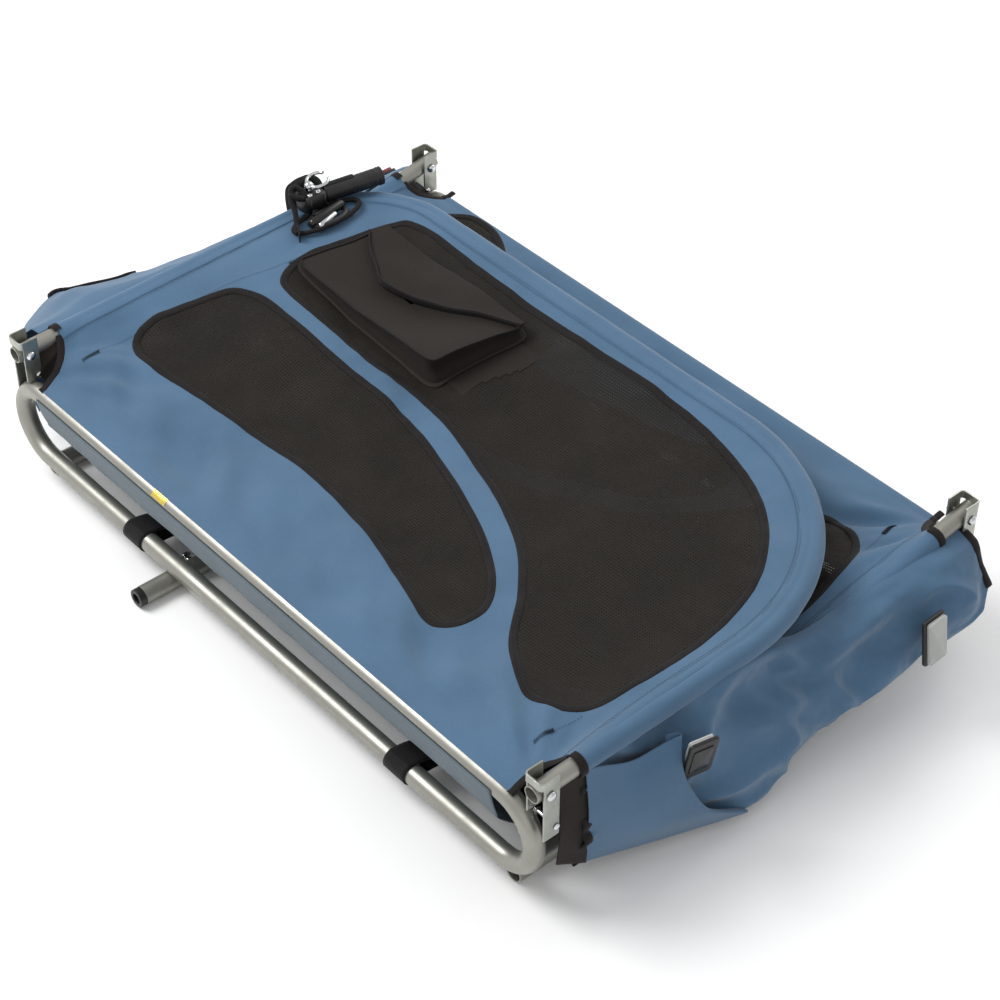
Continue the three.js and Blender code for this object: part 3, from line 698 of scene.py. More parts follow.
def bracket(name, x, side, outer):
    """Its outer leg is welded to the loop at its foot, and the inner one stops short above the rail."""
    outline = bracket_outline()
    low, high = low_high(name)
    web_low = high[2] - WEB_DEPTH
    levels = [low[2], INNER_LEG_Z, 150.0, web_low, high[2] - 4, high[2]]
    points = np.array([[(x + a, side * b, z) for a, b in outline] for z in levels])
    faces = []
    for face in grid_faces(*points.shape[:2]):
        level, place = face[0] // len(outline), outline[[face[0] % len(outline), face[3] % len(outline)]]
        is_web = place[:, 1].min() > BRACKET_HIGH[1] - CORNER_R - 1
        is_inner = place[:, 0].mean() * outer < 0
        if not (is_web and levels[level] < web_low) and not (is_inner and level == 0):
            faces.append(face)
    used, faces = np.unique(faces, return_inverse=True)
    verts, uv = points.reshape(-1, 3)[used], grid_uv(points)[used]
    plate = piece(f"{name}_plate", verts, faces.reshape(-1, 4), ZINC, uv)
    settle(rounded(thicken(plate, BRACKET_SHEET), 0.5, 2, 30), "base", "zinc_plate", name)


def nut(centre, radius, height):
    """A six-sided nut with chamfered corners, behind a place on a bolt's axis."""
    angles = np.radians(range(0, 360, 60))
    rows = []
    for r, h in ((radius * 0.9, 0), (radius, height * 0.15), (radius, height * 0.85), (radius * 0.9, height)):
        rows.append([(-h, r * math.cos(t), r * math.sin(t)) for t in angles])
    faces = [*map(list, grid_faces(4, 6, False, True)), list(range(6))[::-1], list(range(18, 24))]
    return rounded(net("nut", np.array(rows) + centre, faces, CHROME, flat=True), 0.25, 2, 20)


def bolt(node):
    """Domed head in front, washer and hexagon nut behind, on the CAD bolt's own axis."""
    low, high = low_high(node)
    centre = (low + high) / 2
    centre[0] = REAR_X if centre[0] < 0 else FRONT_X
    half = (BRACKET_HIGH[0] - BRACKET_LOW[0]) / 2 + 0.4
    r = (high[2] - low[2]) / 2 / 1.8
    head = 1.8 * r
    tail = [(0, -half - 1.9 * r), (r * 0.8, -half - 1.9 * r), (r, -half - 1.7 * r), (r, half)]
    dome = [(share * head, half + rise * r) for share, rise in (
        (1, 0), (1, 0.25), (0.93, 0.6), (0.72, 0.95), (0.4, 1.2), (0, 1.3))]
    washer = [(r, -half), (head * 1.15, -half), (head * 1.15, -half - 0.5), (r, -half - 0.5)]
    parts = [
        turned(f"{node}_shank", tail + dome, centre, (1, 0, 0), CHROME),
        nut(centre - (half + 0.4, 0, 0), head, 1.3 * r),
        turned("washer", washer, centre, (1, 0, 0), ZINC),
    ]
    settle(joined(f"{node}_set", parts), "base", "zinc_plate", node)


def add_brackets():
    for side, side_name in NAMES.items():
        for end, x, outer in (("rear", REAR_X, -1), ("front", FRONT_X, 1)):
            bracket(f"{end}_{side_name}_bracket", x, side, outer)
            bolt(f"{end}_{side_name}_pivot_bolt")
            bolt(f"{end}_{side_name}_foot_bolt")


# ---------------- side panels
# The cloth is a height at each place of a grid: fixed on the hoop and the rail, and relaxed between them.
STEP = 4.0
RELAX_ROUNDS = 260
SAG = 9e-5
LEG_FLAT = 5
# The sleeve starts a little up each leg. Its seam lies this far inside the hoop.
SLEEVE_R = HOOP_R + 1.3
SLEEVE_START = 42.0
SEAM_IN = 15.0
# The cloth lies round the rail at this radius, and leaves it this far round from the rail's outer side.
RAIL_WRAP_R = LOOP_R + 0.9
RAIL_EDGE_DEG = 68.0
STITCH_PITCH = 3.2
STITCH_LENGTH = 2.2
STITCH_THICK = 0.45
BARTACK_STEPS = 30
BARTACK_PITCH = 0.75
BARTACK_HALF = 2.4
OPENING = (36.0, 46.0)
SLEEVE_TOP_DEG = 118
SLEEVE_END_DEG = -131


def from_rear(points):
    """Outlines are given as (distance in front of the rear leg, reach)."""
    return np.asarray(points, float) + (REAR_X, 0)


LOW_WINDOW = [
    (48, 124), (50, 174), (61, 226), (77, 247), (108, 257), (170, 261), (232, 261), (293, 262), (356, 257),
    (422, 243), (488, 222), (550, 197), (603, 164), (630, 132), (631, 104), (616, 88), (591, 84), (530, 101),
    (471, 115), (407, 125), (344, 129),
]
LOW_WINDOW_END = {-1: [(281, 126), (221, 120), (162, 111), (103, 101), (66, 103)],
                  1: [(290, 110), (236, 82), (192, 46), (158, 20), (124, 7), (92, 8), (74, 24), (60, 66)]}
BIG_WINDOW = [
    (86, 296), (74, 336), (80, 390), (94, 448), (112, 466), (156, 471), (229, 469), (299, 468), (369, 466),
    (435, 468), (500, 468), (565, 465), (629, 455), (695, 435), (756, 396), (802, 339), (822, 281),
    (828, 225), (829, 170), (821, 122), (798, 90), (768, 80), (742, 83), (688, 117), (642, 169), (586, 216),
    (517, 250), (447, 273), (378, 289), (310, 293), (246, 290), (178, 290), (112, 287),
]


def windows(side):
    """The outlines of one side's two windows."""
    shapes = {"low": LOW_WINDOW + LOW_WINDOW_END[side], "big": BIG_WINDOW}
    return {name: through(from_rear(shape), 420, closed=True) for name, shape in shapes.items()}


def depth_inside(x, reach):
    """How far a place lies inside a hoop's centre line."""
    depth = np.minimum(np.minimum(x - REAR_X, FRONT_X - x), HOOP_REACH - reach)
    at_rear = (x < REAR_CENTRE[0]) & (reach > REAR_CENTRE[1])
    at_front = (x > FRONT_CENTRE[0]) & (reach > FRONT_CENTRE[1])
    depth = np.where(at_rear, REAR_BEND - np.hypot(x - REAR_CENTRE[0], reach - REAR_CENTRE[1]), depth)
    return np.where(at_front, FRONT_BEND - np.hypot(x - FRONT_CENTRE[0], reach - FRONT_CENTRE[1]), depth)


class Panel:
    """The stretched cloth of one side: a height above the hoop's plane at each place."""

    def __init__(self, side):
        self.side = side
        rail_y, rail_z = side * LOOP_Y, LOOP_HIGH[2] - LOOP_R
        self.rail_reach, self.rail_w = in_hoop(side, rail_y, rail_z)
        out, up = (RAIL_WRAP_R * part(math.radians(RAIL_EDGE_DEG)) for part in (math.cos, math.sin))
        self.near = in_hoop(side, rail_y + side * out, rail_z + up)[0]
        self.x = np.arange(REAR_X, FRONT_X + STEP / 2, STEP)
        self.reach = self.near + np.arange(0, HOOP_REACH - self.near + STEP, STEP)
        self.w = self.relax() + self.wrinkles()

    def fixed(self, x, reach):
        """Where the cloth lies on a tube, and how high."""
        depth = depth_inside(x, reach)
        over_hoop = np.sqrt(np.clip(SLEEVE_R**2 - np.clip(depth, 0, LEG_FLAT) ** 2, 0, None))
        over_rail = self.rail_w + np.sqrt(np.clip(RAIL_WRAP_R**2 - (reach - self.rail_reach) ** 2, 0, None))
        share = smooth((reach - self.near) / SLEEVE_START)
        on_rail = reach < self.rail_reach + 2
        top = self.rail_w + RAIL_WRAP_R
        height = np.where(reach < SLEEVE_START, top + (over_hoop - top) * share, over_hoop)
        return on_rail | (depth <= LEG_FLAT), np.where(on_rail, over_rail, height)

    def relax(self):
        """A taut skin between hoop and rail with a little sag, by averaging on finer and finer grids."""
        heights = None
        for coarse in (16, 8, 4, 2, 1):
            x, reach = self.x[::coarse], self.reach[::coarse]
            gx, gr = np.meshgrid(x, reach, indexing="ij")
            held, level = self.fixed(gx, gr)
            if heights is None:
                heights = np.zeros(gx.shape)
            else:
                heights = np.array([np.interp(reach, old_reach, row) for row in heights])
                heights = np.array([np.interp(x, old_x, column) for column in heights.T]).T
            load = SAG * (STEP * coarse) ** 2
            for _ in range(RELAX_ROUNDS):
                heights = np.where(held, level, heights)
                p = np.pad(heights, 1, mode="edge")
                heights = (p[2:, 1:-1] + p[:-2, 1:-1] + p[1:-1, 2:] + p[1:-1, :-2]) / 4 - load
            heights = np.where(held, level, heights)
            old_x, old_reach = x, reach
        return heights

    def wrinkles(self):
        """Pulls towards the corners and the rail, a slow unevenness, and puckers beside the windows."""
        gx, gr = np.meshgrid(self.x, self.reach, indexing="ij")
        free = smooth((depth_inside(gx, gr) - 6) / 30) * smooth((gr - self.rail_reach - 6) / 30)
        seed = 10 + 40 * (self.side + 1)
        slow = 4.2 * ripple(gx, gr, 95, seed + 1) + 2.4 * ripple(gx, gr, 40, seed + 2)
        pulls = 0.0
        for corner in (REAR_X, FRONT_X):
            angle = np.degrees(np.arctan2(gr + 12, np.abs(gx - corner) + 1))
            far = np.hypot(gx - corner, gr + 12)
            pulls = pulls + 8.0 * bump((far - 120) / 130) * ripple(angle, far * 0.08, 9, seed + 3)
        rail = 8.5 * bump((gr - 45) / 70) * ripple(gx + gr * 0.9, gr * 0.4, 42, seed + 4)
        pucker = 0.0
        for outline in windows(self.side).values():
            gap = away(outline[::2], gx, gr)
            pucker = pucker + 1.2 * bump(gap / 24) * ripple(gx, gr, 17, seed + 5)
        return free * (slow + pulls + rail + pucker)

    def height(self, x, reach):
        """Height at any place, between the grid's own."""
        u = np.clip((np.asarray(x, float) - self.x[0]) / STEP, 0, len(self.x) - 1.001)
        v = np.clip((np.asarray(reach, float) - self.reach[0]) / STEP, 0, len(self.reach) - 1.001)
        i, j = u.astype(int), v.astype(int)
        s, t = u - i, v - j
        near = self.w[i, j] * (1 - s) + self.w[i + 1, j] * s
        far = self.w[i, j + 1] * (1 - s) + self.w[i + 1, j + 1] * s
        return near * (1 - t) + far * t

    def at(self, x, reach, lift=0.0):
        return on_hoop(self.side, x, reach, self.height(x, reach) + lift)

    def on_line(self, line, lift):
        """Places above an (x, reach) line."""
        return self.at(line[:, 0], line[:, 1], lift)

    def hang(self, obj, slot):
        """Bakes a piece of the panel's placement into its mesh."""
        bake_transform(obj)

    def patch(self, name, keep, material, lift=0.0):
        """The part of the cloth whose grid cells pass keep(x, reach)."""
        gx, gr = (axis.ravel() for axis in np.meshgrid(self.x, self.reach, indexing="ij"))
        faces = grid_faces(len(self.x), len(self.reach))
        faces = faces[keep(gx[faces].mean(1), gr[faces].mean(1))]
        used, flat = np.unique(faces, return_inverse=True)
        x, reach = gx[used], gr[used]
        rise = lift(x, reach) if callable(lift) else lift
        faces = flat.reshape(-1, 4)[:, :: -self.side]
        return piece(name, self.at(x, reach, rise), faces, material, np.stack([x, reach], -1))

    def strip(self, name, outline, width, material, closed=True, lift=0.2, crown=1.0):
        """Flat tape laid on the cloth along an outline, with a slightly crowned section."""
        across = left_of(outline, closed)
        share = np.linspace(-1, 1, 7)
        rise = lift + crown * (1 - share**4)
        rise[[0, -1]] = -0.3
        places = outline[:, None] + across[:, None] * share[:, None] * width / 2
        points = self.at(places[..., 0], places[..., 1], rise)
        return grid(name, points[:, :: self.side], material, close_rows=closed)


def in_opening(x, reach):
    """The cut-outs round the brackets."""
    width, length = OPENING
    from_leg = np.minimum(np.abs(x - REAR_X), np.abs(x - FRONT_X))
    return from_leg**2 / width**2 + (reach + 4) ** 2 / length**2 < 1


def stitches(name, points):
    """A row of short threads along a line of points, each a narrow strip that dips in at its ends."""
    points = np.asarray(points, float)
    total = np.linalg.norm(np.diff(points, axis=0), axis=1).sum()
    centres = evenly(points, max(2, int(total / STITCH_PITCH)))
    verts, faces = [], []
    for centre, along in zip(centres, tangents(centres)):
        side = np.cross(along, (0, 0, 1.0))
        side /= max(np.linalg.norm(side), 1e-6)
        up = np.cross(side, along)
        start = len(verts)
        faces += [(start + k, start + k + 2, start + k + 3, start + k + 1) for k in (0, 2, 4)]
        for share, half, rise in ((-1, 0.25, -0.4), (-0.7, 0.5, 0.6), (0.7, 0.5, 0.6), (1, 0.25, -0.4)):
            spot = centre + along * share * STITCH_LENGTH / 2 + up * STITCH_THICK * rise
            verts += [spot + side * across * STITCH_THICK * half for across in (-1, 1)]
    return piece(name, verts, faces, THREAD, np.zeros((len(verts), 2)))


def sleeve(panel):
    """The cloth round the hoop, sewn to the panel along a seam inside it."""
    outline = hoop_outline(SLEEVE_START)
    out = left_of(outline)
    steps = np.arange(len(outline)) * 4.0
    columns = []
    for depth in (SEAM_IN, SEAM_IN - 0.6, 12.5, 10.0, 8.0):
        rise = 0.1 if depth == SEAM_IN else 1.2
        columns.append(panel.on_line(outline - out * depth, rise + 0.3 * ripple(steps, depth, 21, 5)))
    for degree in range(SLEEVE_TOP_DEG, SLEEVE_END_DEG, -12):
        a = math.radians(degree)
        pucker = 0.35 * ripple(steps, degree * 0.5, 19, 6) * smooth((150 - abs(degree - 40)) / 60)
        radius = SLEEVE_R + 0.5 + pucker
        x, reach = (outline + out * (math.cos(a) * radius)[:, None]).T
        columns.append(on_hoop(panel.side, x, reach, math.sin(a) * radius))
    return grid(f"{NAMES[panel.side]}_sleeve", np.stack(columns, 1)[:, :: -panel.side], BLUE)


def add_panel(side):
    """One side's cloth, its sleeve, and its mesh windows with their binding."""
    panel = Panel(side)
    name = NAMES[side]
    outlines = windows(side)

    def in_cloth(x, reach):
        keep = (depth_inside(x, reach) > 6) & ~in_opening(x, reach)
        for outline in outlines.values():
            keep &= ~inside(outline, x, reach)
        return keep

    main = panel.patch(f"{name}_panel_cloth", in_cloth, BLUE)
    panel.hang(main, "blue_fabric")
    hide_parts(f"{name}_side_panel")
    settle(sleeve(panel), f"{name}_side", "blue_fabric")

    for window, outline in outlines.items():
        def within(x, reach):
            return inside(outline, x, reach)

        def droop(x, reach):
            return -0.7 - 2.2 * smooth(away(outline[::3], x, reach) / 60)

        panel.hang(panel.patch(f"{name}_{window}_window", within, MESH, droop), "black_fabric")
        panel.hang(panel.strip(f"{name}_{window}_binding", outline, 9.0, TAPE), "black_fabric")
    return panel


# ---------------- seams and corners of the side panels
def seam(panel, name, points):
    """A stitched line on the panel through a few places."""
    return stitches(name, panel.on_line(through(points, 60), 0.6))


def bartack(panel, name, centre, angle):
    """A dense zigzag of thread where a seam ends."""
    c, s = math.cos(math.radians(angle)), math.sin(math.radians(angle))
    steps = np.arange(BARTACK_STEPS)
    along = (steps - (BARTACK_STEPS - 1) / 2) * BARTACK_PITCH
    across = np.where(steps % 2, BARTACK_HALF, -BARTACK_HALF)
    x, reach = centre[0] + along * c - across * s, centre[1] + along * s + across * c
    return tube(name, panel.at(x, reach, 0.9), STITCH_THICK, THREAD, count=8)


def cuff(panel, name, x):
    """Binding round the sleeve where the bare hoop leg comes out of it."""
    rows = []
    outward = -1 if x == REAR_X else 1
    for a in np.radians(range(SLEEVE_TOP_DEG, SLEEVE_END_DEG, -8)):
        row = []
        for along, radius in ((-3.5, 10.4), (-4.2, 11.6), (-3, 12.8), (3, 12.9), (4.4, 12.5), (5, 11.4)):
            out, up = outward * math.cos(a) * radius, math.sin(a) * radius
            row.append(on_hoop(panel.side, x + out, SLEEVE_START + along, up))
        rows.append(row)
    return grid(name, np.array(rows), TAPE)


def add_corner(panel, x, direction):
    """The bound opening round a bracket, and the black gusset cloth under it."""
    end = "rear" if direction > 0 else "front"
    name = f"{NAMES[panel.side]}_{end}"
    width, length = OPENING
    angle = np.radians(np.linspace(-6, 74, 40))
    outline = np.stack([x + direction * width * np.cos(angle), -4 + length * np.sin(angle)], -1)
    edge = panel.strip(f"{name}_opening_binding", outline, 8.5, TAPE, closed=False)

    def under(px, reach):
        return in_opening(px, reach) & (direction * (px - x) > 14) & (reach > panel.rail_reach + 8)

    for part in (edge, panel.patch(f"{name}_gusset", under, BLACK, -5.0)):
        panel.hang(part, "black_fabric")
    settle(cuff(panel, f"{name}_cuff", x), f"{NAMES[panel.side]}_side", "black_fabric")


def add_panel_details(panel):
    """Both corners, and every row of thread."""
    name = NAMES[panel.side]
    for x, direction in ((REAR_X, 1), (FRONT_X, -1)):
        add_corner(panel, x, direction)
    rows = {
        "rear_seam": [(48, 50), (47, 102), (48, 130)],
        "middle_seam": [(50, 190), (56, 240), (68, 300), (73, 352), (80, 400)],
        "front_seam": [(808, 54), (812, 70), (815, 92)],
    }
    threads = [seam(panel, f"{name}_{key}", from_rear(points)) for key, points in rows.items()]
    for key, centre, angle in (("rear", (49, 54), 88), ("front", (808, 51), 78), ("window", (75, 324), 80)):
        threads.append(bartack(panel, f"{name}_{key}_bartack", from_rear(centre), angle))
    outline = hoop_outline(SLEEVE_START, 6.0)
    for depth in (13.8, 17.0):
        line = outline - left_of(outline) * depth
        threads.append(stitches(f"{name}_sleeve_stitch_{int(depth)}", panel.on_line(line, 0.9)))
    for key, line in windows(panel.side).items():
        threads.append(stitches(f"{name}_{key}_stitch", panel.on_line(line, 1.3)))
    for thread in threads:
        panel.hang(thread, "black_fabric")


# ---------------- skirts and floor straps
SKIRT_ENDS = (-378, 393)
SKIRT_FOOT = np.array([247, 31])


def rail_wrap(side, z, radius, degrees):
    """(y, z) places round a rail at height z, from 0 degrees on its outer side up to 90 on top."""
    a = np.radians(degrees)
    return [(side * (LOOP_Y + radius * c), z + radius * s) for c, s in zip(np.cos(a), np.sin(a))]


def add_skirt(side):
    """The lower side cloth: round the outside of the upper rail, then in and down to the floor."""
    name = NAMES[side]
    wrap = rail_wrap(side, LOOP_HIGH[2] - LOOP_R, RAIL_WRAP_R, range(12, -30, -6))
    lower = [(side * (LOOP_Y + y), z) for y, z in ((7, 100), (3, 86), (-1, 77))]
    drop = through([wrap[-1], *lower, SKIRT_FOOT * (side, 1)], 34)[1:]
    section = np.concatenate([wrap, drop])
    xs = np.linspace(*SKIRT_ENDS, 190)
    points = np.array([[(x, y, z) for y, z in section] for x in xs])
    share = np.clip((np.arange(len(section)) - len(wrap)) / (len(drop) - 1), 0, 1)[None, :]
    gx = xs[:, None]
    free = bump(share * 2 - 1)
    belly = 1.5 + 1.8 * ripple(gx, share * 60, 70, 31) + 1.2 * ripple(gx, share * 90, 24, 32)
    points[..., 1] -= side * free * belly
    points[..., 2] += free * 1.5 * ripple(gx, share * 60, 55, 33)
    # The skirt's greyer cloth is partly its reverse side and partly painted reflected light.
    skirt = grid(f"{name}_skirt_cloth", points[::side], BLUE_BACK_AND_REFLECTION, thick=CLOTH)
    settle(skirt, "base", "skirt_fabric", f"{name}_skirt")
    edge = [(x, section[0, 0], section[0, 1] + 1.0) for x in xs[::2]]
    settle(stitches(f"{name}_skirt_stitch", edge), "base", "skirt_fabric")


def band(name, x, centres, width):
    """Webbing across X, following (y, z) places."""
    columns = x + np.linspace(-width / 2, width / 2, 9)
    line = evenly(through(centres, 90), 70)
    return grid(name, np.array([[(a, y, z) for a in columns] for y, z in line]), WEBBING, thick=1.5)


def add_floor_straps():
    """Four straps from the floor cloth round the lower rails and back under."""
    for side, name in NAMES.items():
        wrap = rail_wrap(side, LOOP_LOW[2] + LOOP_R, LOOP_R + 1.1, range(80, -100, -20))
        top = [(side * y, z) for y, z in ((242, 26.4), (LOOP_Y - 36, 34), (LOOP_Y - 16, 42.5))]
        under = [(side * y, z) for y, z in ((LOOP_Y - 18, 25), (LOOP_Y - 38, 23))]
        for end in ("rear", "front"):
            node = f"{end}_{name}_floor_strap"
            strap = band(f"{node}_webbing", middle(node)[0], [*top, *wrap, *under], 32)
            settle(strap, "base", "webbing", node)


def add_sticker():
    """A small foil patch wrapped on the right rail."""
    places = rail_wrap(-1, LOOP_HIGH[2] - LOOP_R, LOOP_R + 0.35, range(95, 18, -7))
    points = np.array([[(x, y, z) for y, z in places] for x in np.linspace(-158, -134, 8)])
    settle(grid("foil_patch", points, GOLD), "base", "painted_tube")


# ---------------- pocket
POCKET_CORNERS = np.array([(-334, 33), (-84, 26), (-70, 150), (-318, 152)], float)
POCKET_HEIGHTS = [[6], [34], [15], [4]]
FLAP_EDGE = [
    (0, 0.8), (0.1, 0.66), (0.24, 0.52), (0.36, 0.42), (0.52, 0.5), (0.7, 0.64), (0.86, 0.8), (1, 0.93),
]


def across_quad(corners, u, v):
    """Bilinear between four values: u along the first side, v away from it."""
    a, b, c, d = (np.asarray(corner, float) for corner in corners)
    u, v = np.asarray(u)[..., None], np.asarray(v)[..., None]
    return (a * (1 - u) + b * u) * (1 - v) + (d * (1 - u) + c * u) * v


def pocket_top(panel, u, v, lift=0.0):
    """Places on the pocket's slack upper side."""
    x, y = np.moveaxis(across_quad(POCKET_CORNERS, u, v), -1, 0)
    height = across_quad(POCKET_HEIGHTS, u, v)[..., 0]
    middle_share = bump(2 * u - 1) * bump(2 * v - 1)
    slack = 7.0 * middle_share * height / 20
    folds = 1.1 * ripple(x, y * 1.6, 42, 41) + 0.6 * ripple(x, y, 17, 42)
    reach = in_hoop(-1, y, PIVOT_Z)[0]
    rise = panel.height(x, reach) + height - slack + folds * (0.35 + middle_share) + lift
    return on_hoop(-1, x, reach, rise)


def square_outline():
    """(u, v) round a rounded square, starting on its near side."""
    r = 0.05
    near, far = r, 1 - r
    corners = [arc(centre, r, start, start + 90, 6) for *centre, start in (
        (far, near, -90), (far, far, 0), (near, far, 90), (near, near, 180))]
    return evenly(np.concatenate([*corners, corners[0][:1]]), 128, closed=True)


def add_pocket(panel):
    """A bag that stands on the panel: walls up from its foot, then its top closed towards the middle."""
    u, v = square_outline().T
    top = pocket_top(panel, u, v)
    x, y = across_quad(POCKET_CORNERS, u, v).T
    foot_line = np.stack([x, in_hoop(-1, y, PIVOT_Z)[0]], -1)
    foot = panel.on_line(foot_line, 0.3)
    centre = top.mean(0)
    rings = []
    for share in (0, 0.12, 0.3, 0.5, 0.7, 0.88, 1.0):
        ring_points = foot + (top - foot) * share
        inward = (centre - ring_points) * (1, 1, 0)
        inward /= np.linalg.norm(inward, axis=1, keepdims=True)
        tuck = 4.2 * np.linalg.norm(top - foot, axis=1) / 30 + 0.9 * ripple(x + y, share * 40, 16, 43)
        rings.append(ring_points + inward * (tuck * bump(2 * share - 1))[:, None])
    for shrink in (0.985, 0.93, 0.8, 0.62, 0.42, 0.22, 0.05):
        inner_u, inner_v = (0.5 + (place - 0.5) * shrink for place in (u, v))
        rings.append(pocket_top(panel, inner_u, inner_v, 0.4 * (shrink < 0.98)))
    bag = grid("pocket_bag", np.array(rings)[::-1], BLACK, close_columns=True)
    settle(subdivided(bag), "right_side", "black_fabric", "side_pocket")
    piping = tube("pocket_piping", top + (0, 0, 0.5), 1.3, TAPE, closed=True, count=8)
    for part in (piping, panel.strip("pocket_flange", foot_line, 9, BLACK, lift=0.5, crown=0.6)):
        settle(part, "right_side", "black_fabric")
    add_flap(panel)


def flap_height(u, v):
    """The flap stands clear of the pocket's top, and its free edge lifts and curls a little."""
    curl = 5.0 * smooth((1 - v) * 2.4) * bump(2 * u - 0.9)
    return 2.6 + curl + 0.9 * ripple(u * 240, v * 120, 34, 44)


def add_flap(panel):
    """The flap: sewn on along the far edge, its free edge cut to a point near the rear."""
    rows = []
    for u, end in through(FLAP_EDGE, 80):
        v = np.linspace(0.995, end, 34)
        u = np.full(34, np.clip(u, 0, 1))
        rows.append(pocket_top(panel, u, v, flap_height(u, v)))
    points = np.array(rows)
    flap = grid("flap_cloth", points[:, ::-1], BLACK, thick=1.3)
    settle(flap, "flap", "black_fabric", "pocket_flap")
    settle(swept("flap_hem", points[:, -1], flat_section(8, -0.8, 0.9), TAPE), "flap", "black_fabric")


def add_backing(panel):
    """Solid black cloth behind the mesh under the pocket."""
    window = windows(panel.side)["big"]

    def behind(x, reach):
        return inside(window, x, reach) & (x < -42 + 10 * np.sin(reach / 30))

    settle(panel.patch("pocket_backing", behind, BLACK, -2.2), "right_side", "black_fabric")


# ---------------- end curtains
def creased(u, v, scale, seed):
    """Like ripple, but with sharp ridges and round valleys."""
    return 1 - 2.6 * np.sqrt(ripple(u, v, scale, seed) ** 2 + 0.004)


def draped(name, profiles, facing, rows, columns, seed, folds):
    """Cloth through upright profiles {y: (distances out, heights)}, with folds added across it."""
    ys = list(profiles)
    nets = [through(np.transpose(profile), columns) for profile in profiles.values()]
    stations = [[(facing * net[k][0], y, net[k][1]) for y, net in zip(ys, nets)] for k in range(columns)]
    points = np.stack([through(station, rows) for station in stations], 1)
    along, down = np.meshgrid(np.linspace(0, 1, rows), np.linspace(0, 1, columns), indexing="ij")
    width = abs(ys[-1] - ys[0])
    free = smooth(down * 5) * smooth((1 - down) * 9 + 0.25)
    slow = creased(along * width * 0.45 + down * 60, down * 190, 46, seed)
    quick = creased(along * width * 0.9 - down * 90, down * 150, 34, seed + 1)
    push = folds * (0.8 * slow + 0.45 * quick + 0.05 * ripple(along * width, down * 150, 9, seed + 2))
    points[..., 0] += facing * push * free
    points[..., 2] += 0.35 * push * free
    points = points[:, ::-facing]
    return grid(name, points, BLUE, thick=CLOTH + 0.2), points


# At each place across the trailer: the front cloth's distances in front of the middle, and its heights,
# from the hoop leg to the hem.
FRONT_CLOTH = {
    -244: ((443, 455, 461, 463, 461, 459, 456, 451), (174, 170, 150, 126, 100, 76, 50, 30)),
    -200: ((443, 455, 459, 462, 463, 462, 459, 455), (178, 173, 152, 128, 100, 74, 48, 26)),
    -160: ((443, 456, 460, 466, 474, 476, 470, 464), (180, 173, 150, 130, 106, 80, 50, 20)),
    -120: ((443, 457, 459, 466, 478, 484, 482, 476), (181, 171, 146, 126, 102, 76, 46, 15)),
    -80: ((443, 457, 456, 462, 482, 494, 494, 490), (182, 168, 140, 122, 104, 76, 44, 12)),
    -40: ((443, 456, 455, 464, 484, 500, 500, 495), (178, 165, 138, 118, 100, 72, 44, 13)),
    0: ((442, 454, 456, 464, 482, 494, 492, 484), (164, 153, 130, 112, 96, 68, 42, 20)),
    50: ((442, 455, 468, 468, 482, 494, 486, 474), (140, 138, 128, 108, 92, 70, 44, 26)),
    100: ((442, 457, 476, 474, 484, 500, 490, 474), (138, 137, 130, 108, 92, 70, 46, 28)),
    150: ((442, 456, 474, 482, 494, 506, 494, 478), (147, 146, 139, 122, 98, 76, 50, 30)),
    200: ((442, 455, 474, 486, 498, 508, 496, 476), (156, 154, 146, 128, 104, 82, 56, 34)),
    240: ((446, 457, 475, 490, 506, 514, 500, 476), (158, 156, 148, 132, 112, 92, 66, 42)),
    280: ((452, 459, 469, 480, 491, 494, 484, 468), (158, 155, 147, 134, 118, 102, 82, 62)),
}
# The flap folded over its near end: both edges from the top down, as (x, y, z).
FOLD_NEAR = [(459, -243, 166), (464, -243, 110), (455, -240, 32)]
FOLD_EDGE = [(474, -136, 151), (486, -146, 132), (494, -142, 101), (502, -118, 56), (505, -66, 19)]
# The same for the rear cloth, behind the middle: out to its bound edge, then back under to the floor.
REAR_CLOTH = {
    -262: ((424, 440, 452, 463, 474, 482, 480, 470, 452), (171, 168, 159, 145, 130, 116, 96, 66, 42)),
    -225: ((424, 441, 456, 478, 500, 512, 506, 490, 456), (172, 168, 161, 148, 131, 118, 98, 64, 38)),
    -180: ((424, 441, 457, 488, 520, 538, 521, 508, 460), (172, 171, 168, 155, 132, 115, 101, 66, 36)),
    -145: ((425, 441, 457, 490, 524, 543, 521, 509, 462), (168, 168, 164, 146, 120, 104, 92, 60, 34)),
    -100: ((425, 440, 456, 486, 516, 530, 518, 504, 462), (163, 164, 159, 140, 116, 103, 88, 58, 34)),
    -50: ((425, 440, 455, 480, 504, 519, 512, 500, 460), (164, 164, 157, 138, 118, 104, 88, 56, 34)),
    10: ((425, 440, 455, 476, 496, 509, 506, 496, 460), (166, 164, 157, 139, 121, 106, 88, 56, 34)),
    70: ((425, 440, 455, 475, 492, 503, 502, 490, 460), (167, 162, 154, 137, 122, 108, 88, 58, 34)),
    120: ((428, 441, 456, 474, 490, 501, 500, 488, 460), (160, 156, 147, 133, 119, 105, 86, 56, 36)),
    170: ((428, 441, 455, 472, 487, 496, 494, 482, 458), (152, 147, 141, 131, 118, 103, 85, 56, 36)),
    215: ((428, 440, 451, 465, 478, 487, 486, 474, 454), (156, 149, 143, 131, 115, 100, 84, 56, 37)),
    250: ((428, 439, 448, 456, 467, 476, 475, 465, 450), (160, 153, 145, 131, 110, 92, 76, 52, 38)),
    274: ((428, 439, 446, 452, 463, 471, 468, 460, 448), (162, 154, 144, 130, 109, 92, 76, 56, 42)),
}


def hem_tape(name, edge, width, up):
    """Binding folded over a cloth's edge."""
    half = width / 2
    section = [(-1.2, -half), (-1.5, 0), (-1.2, half), (1.2, half), (1.5, 0), (1.2, -half)]
    settle(swept(name, edge, section, TAPE, up=up), "base", "black_fabric")


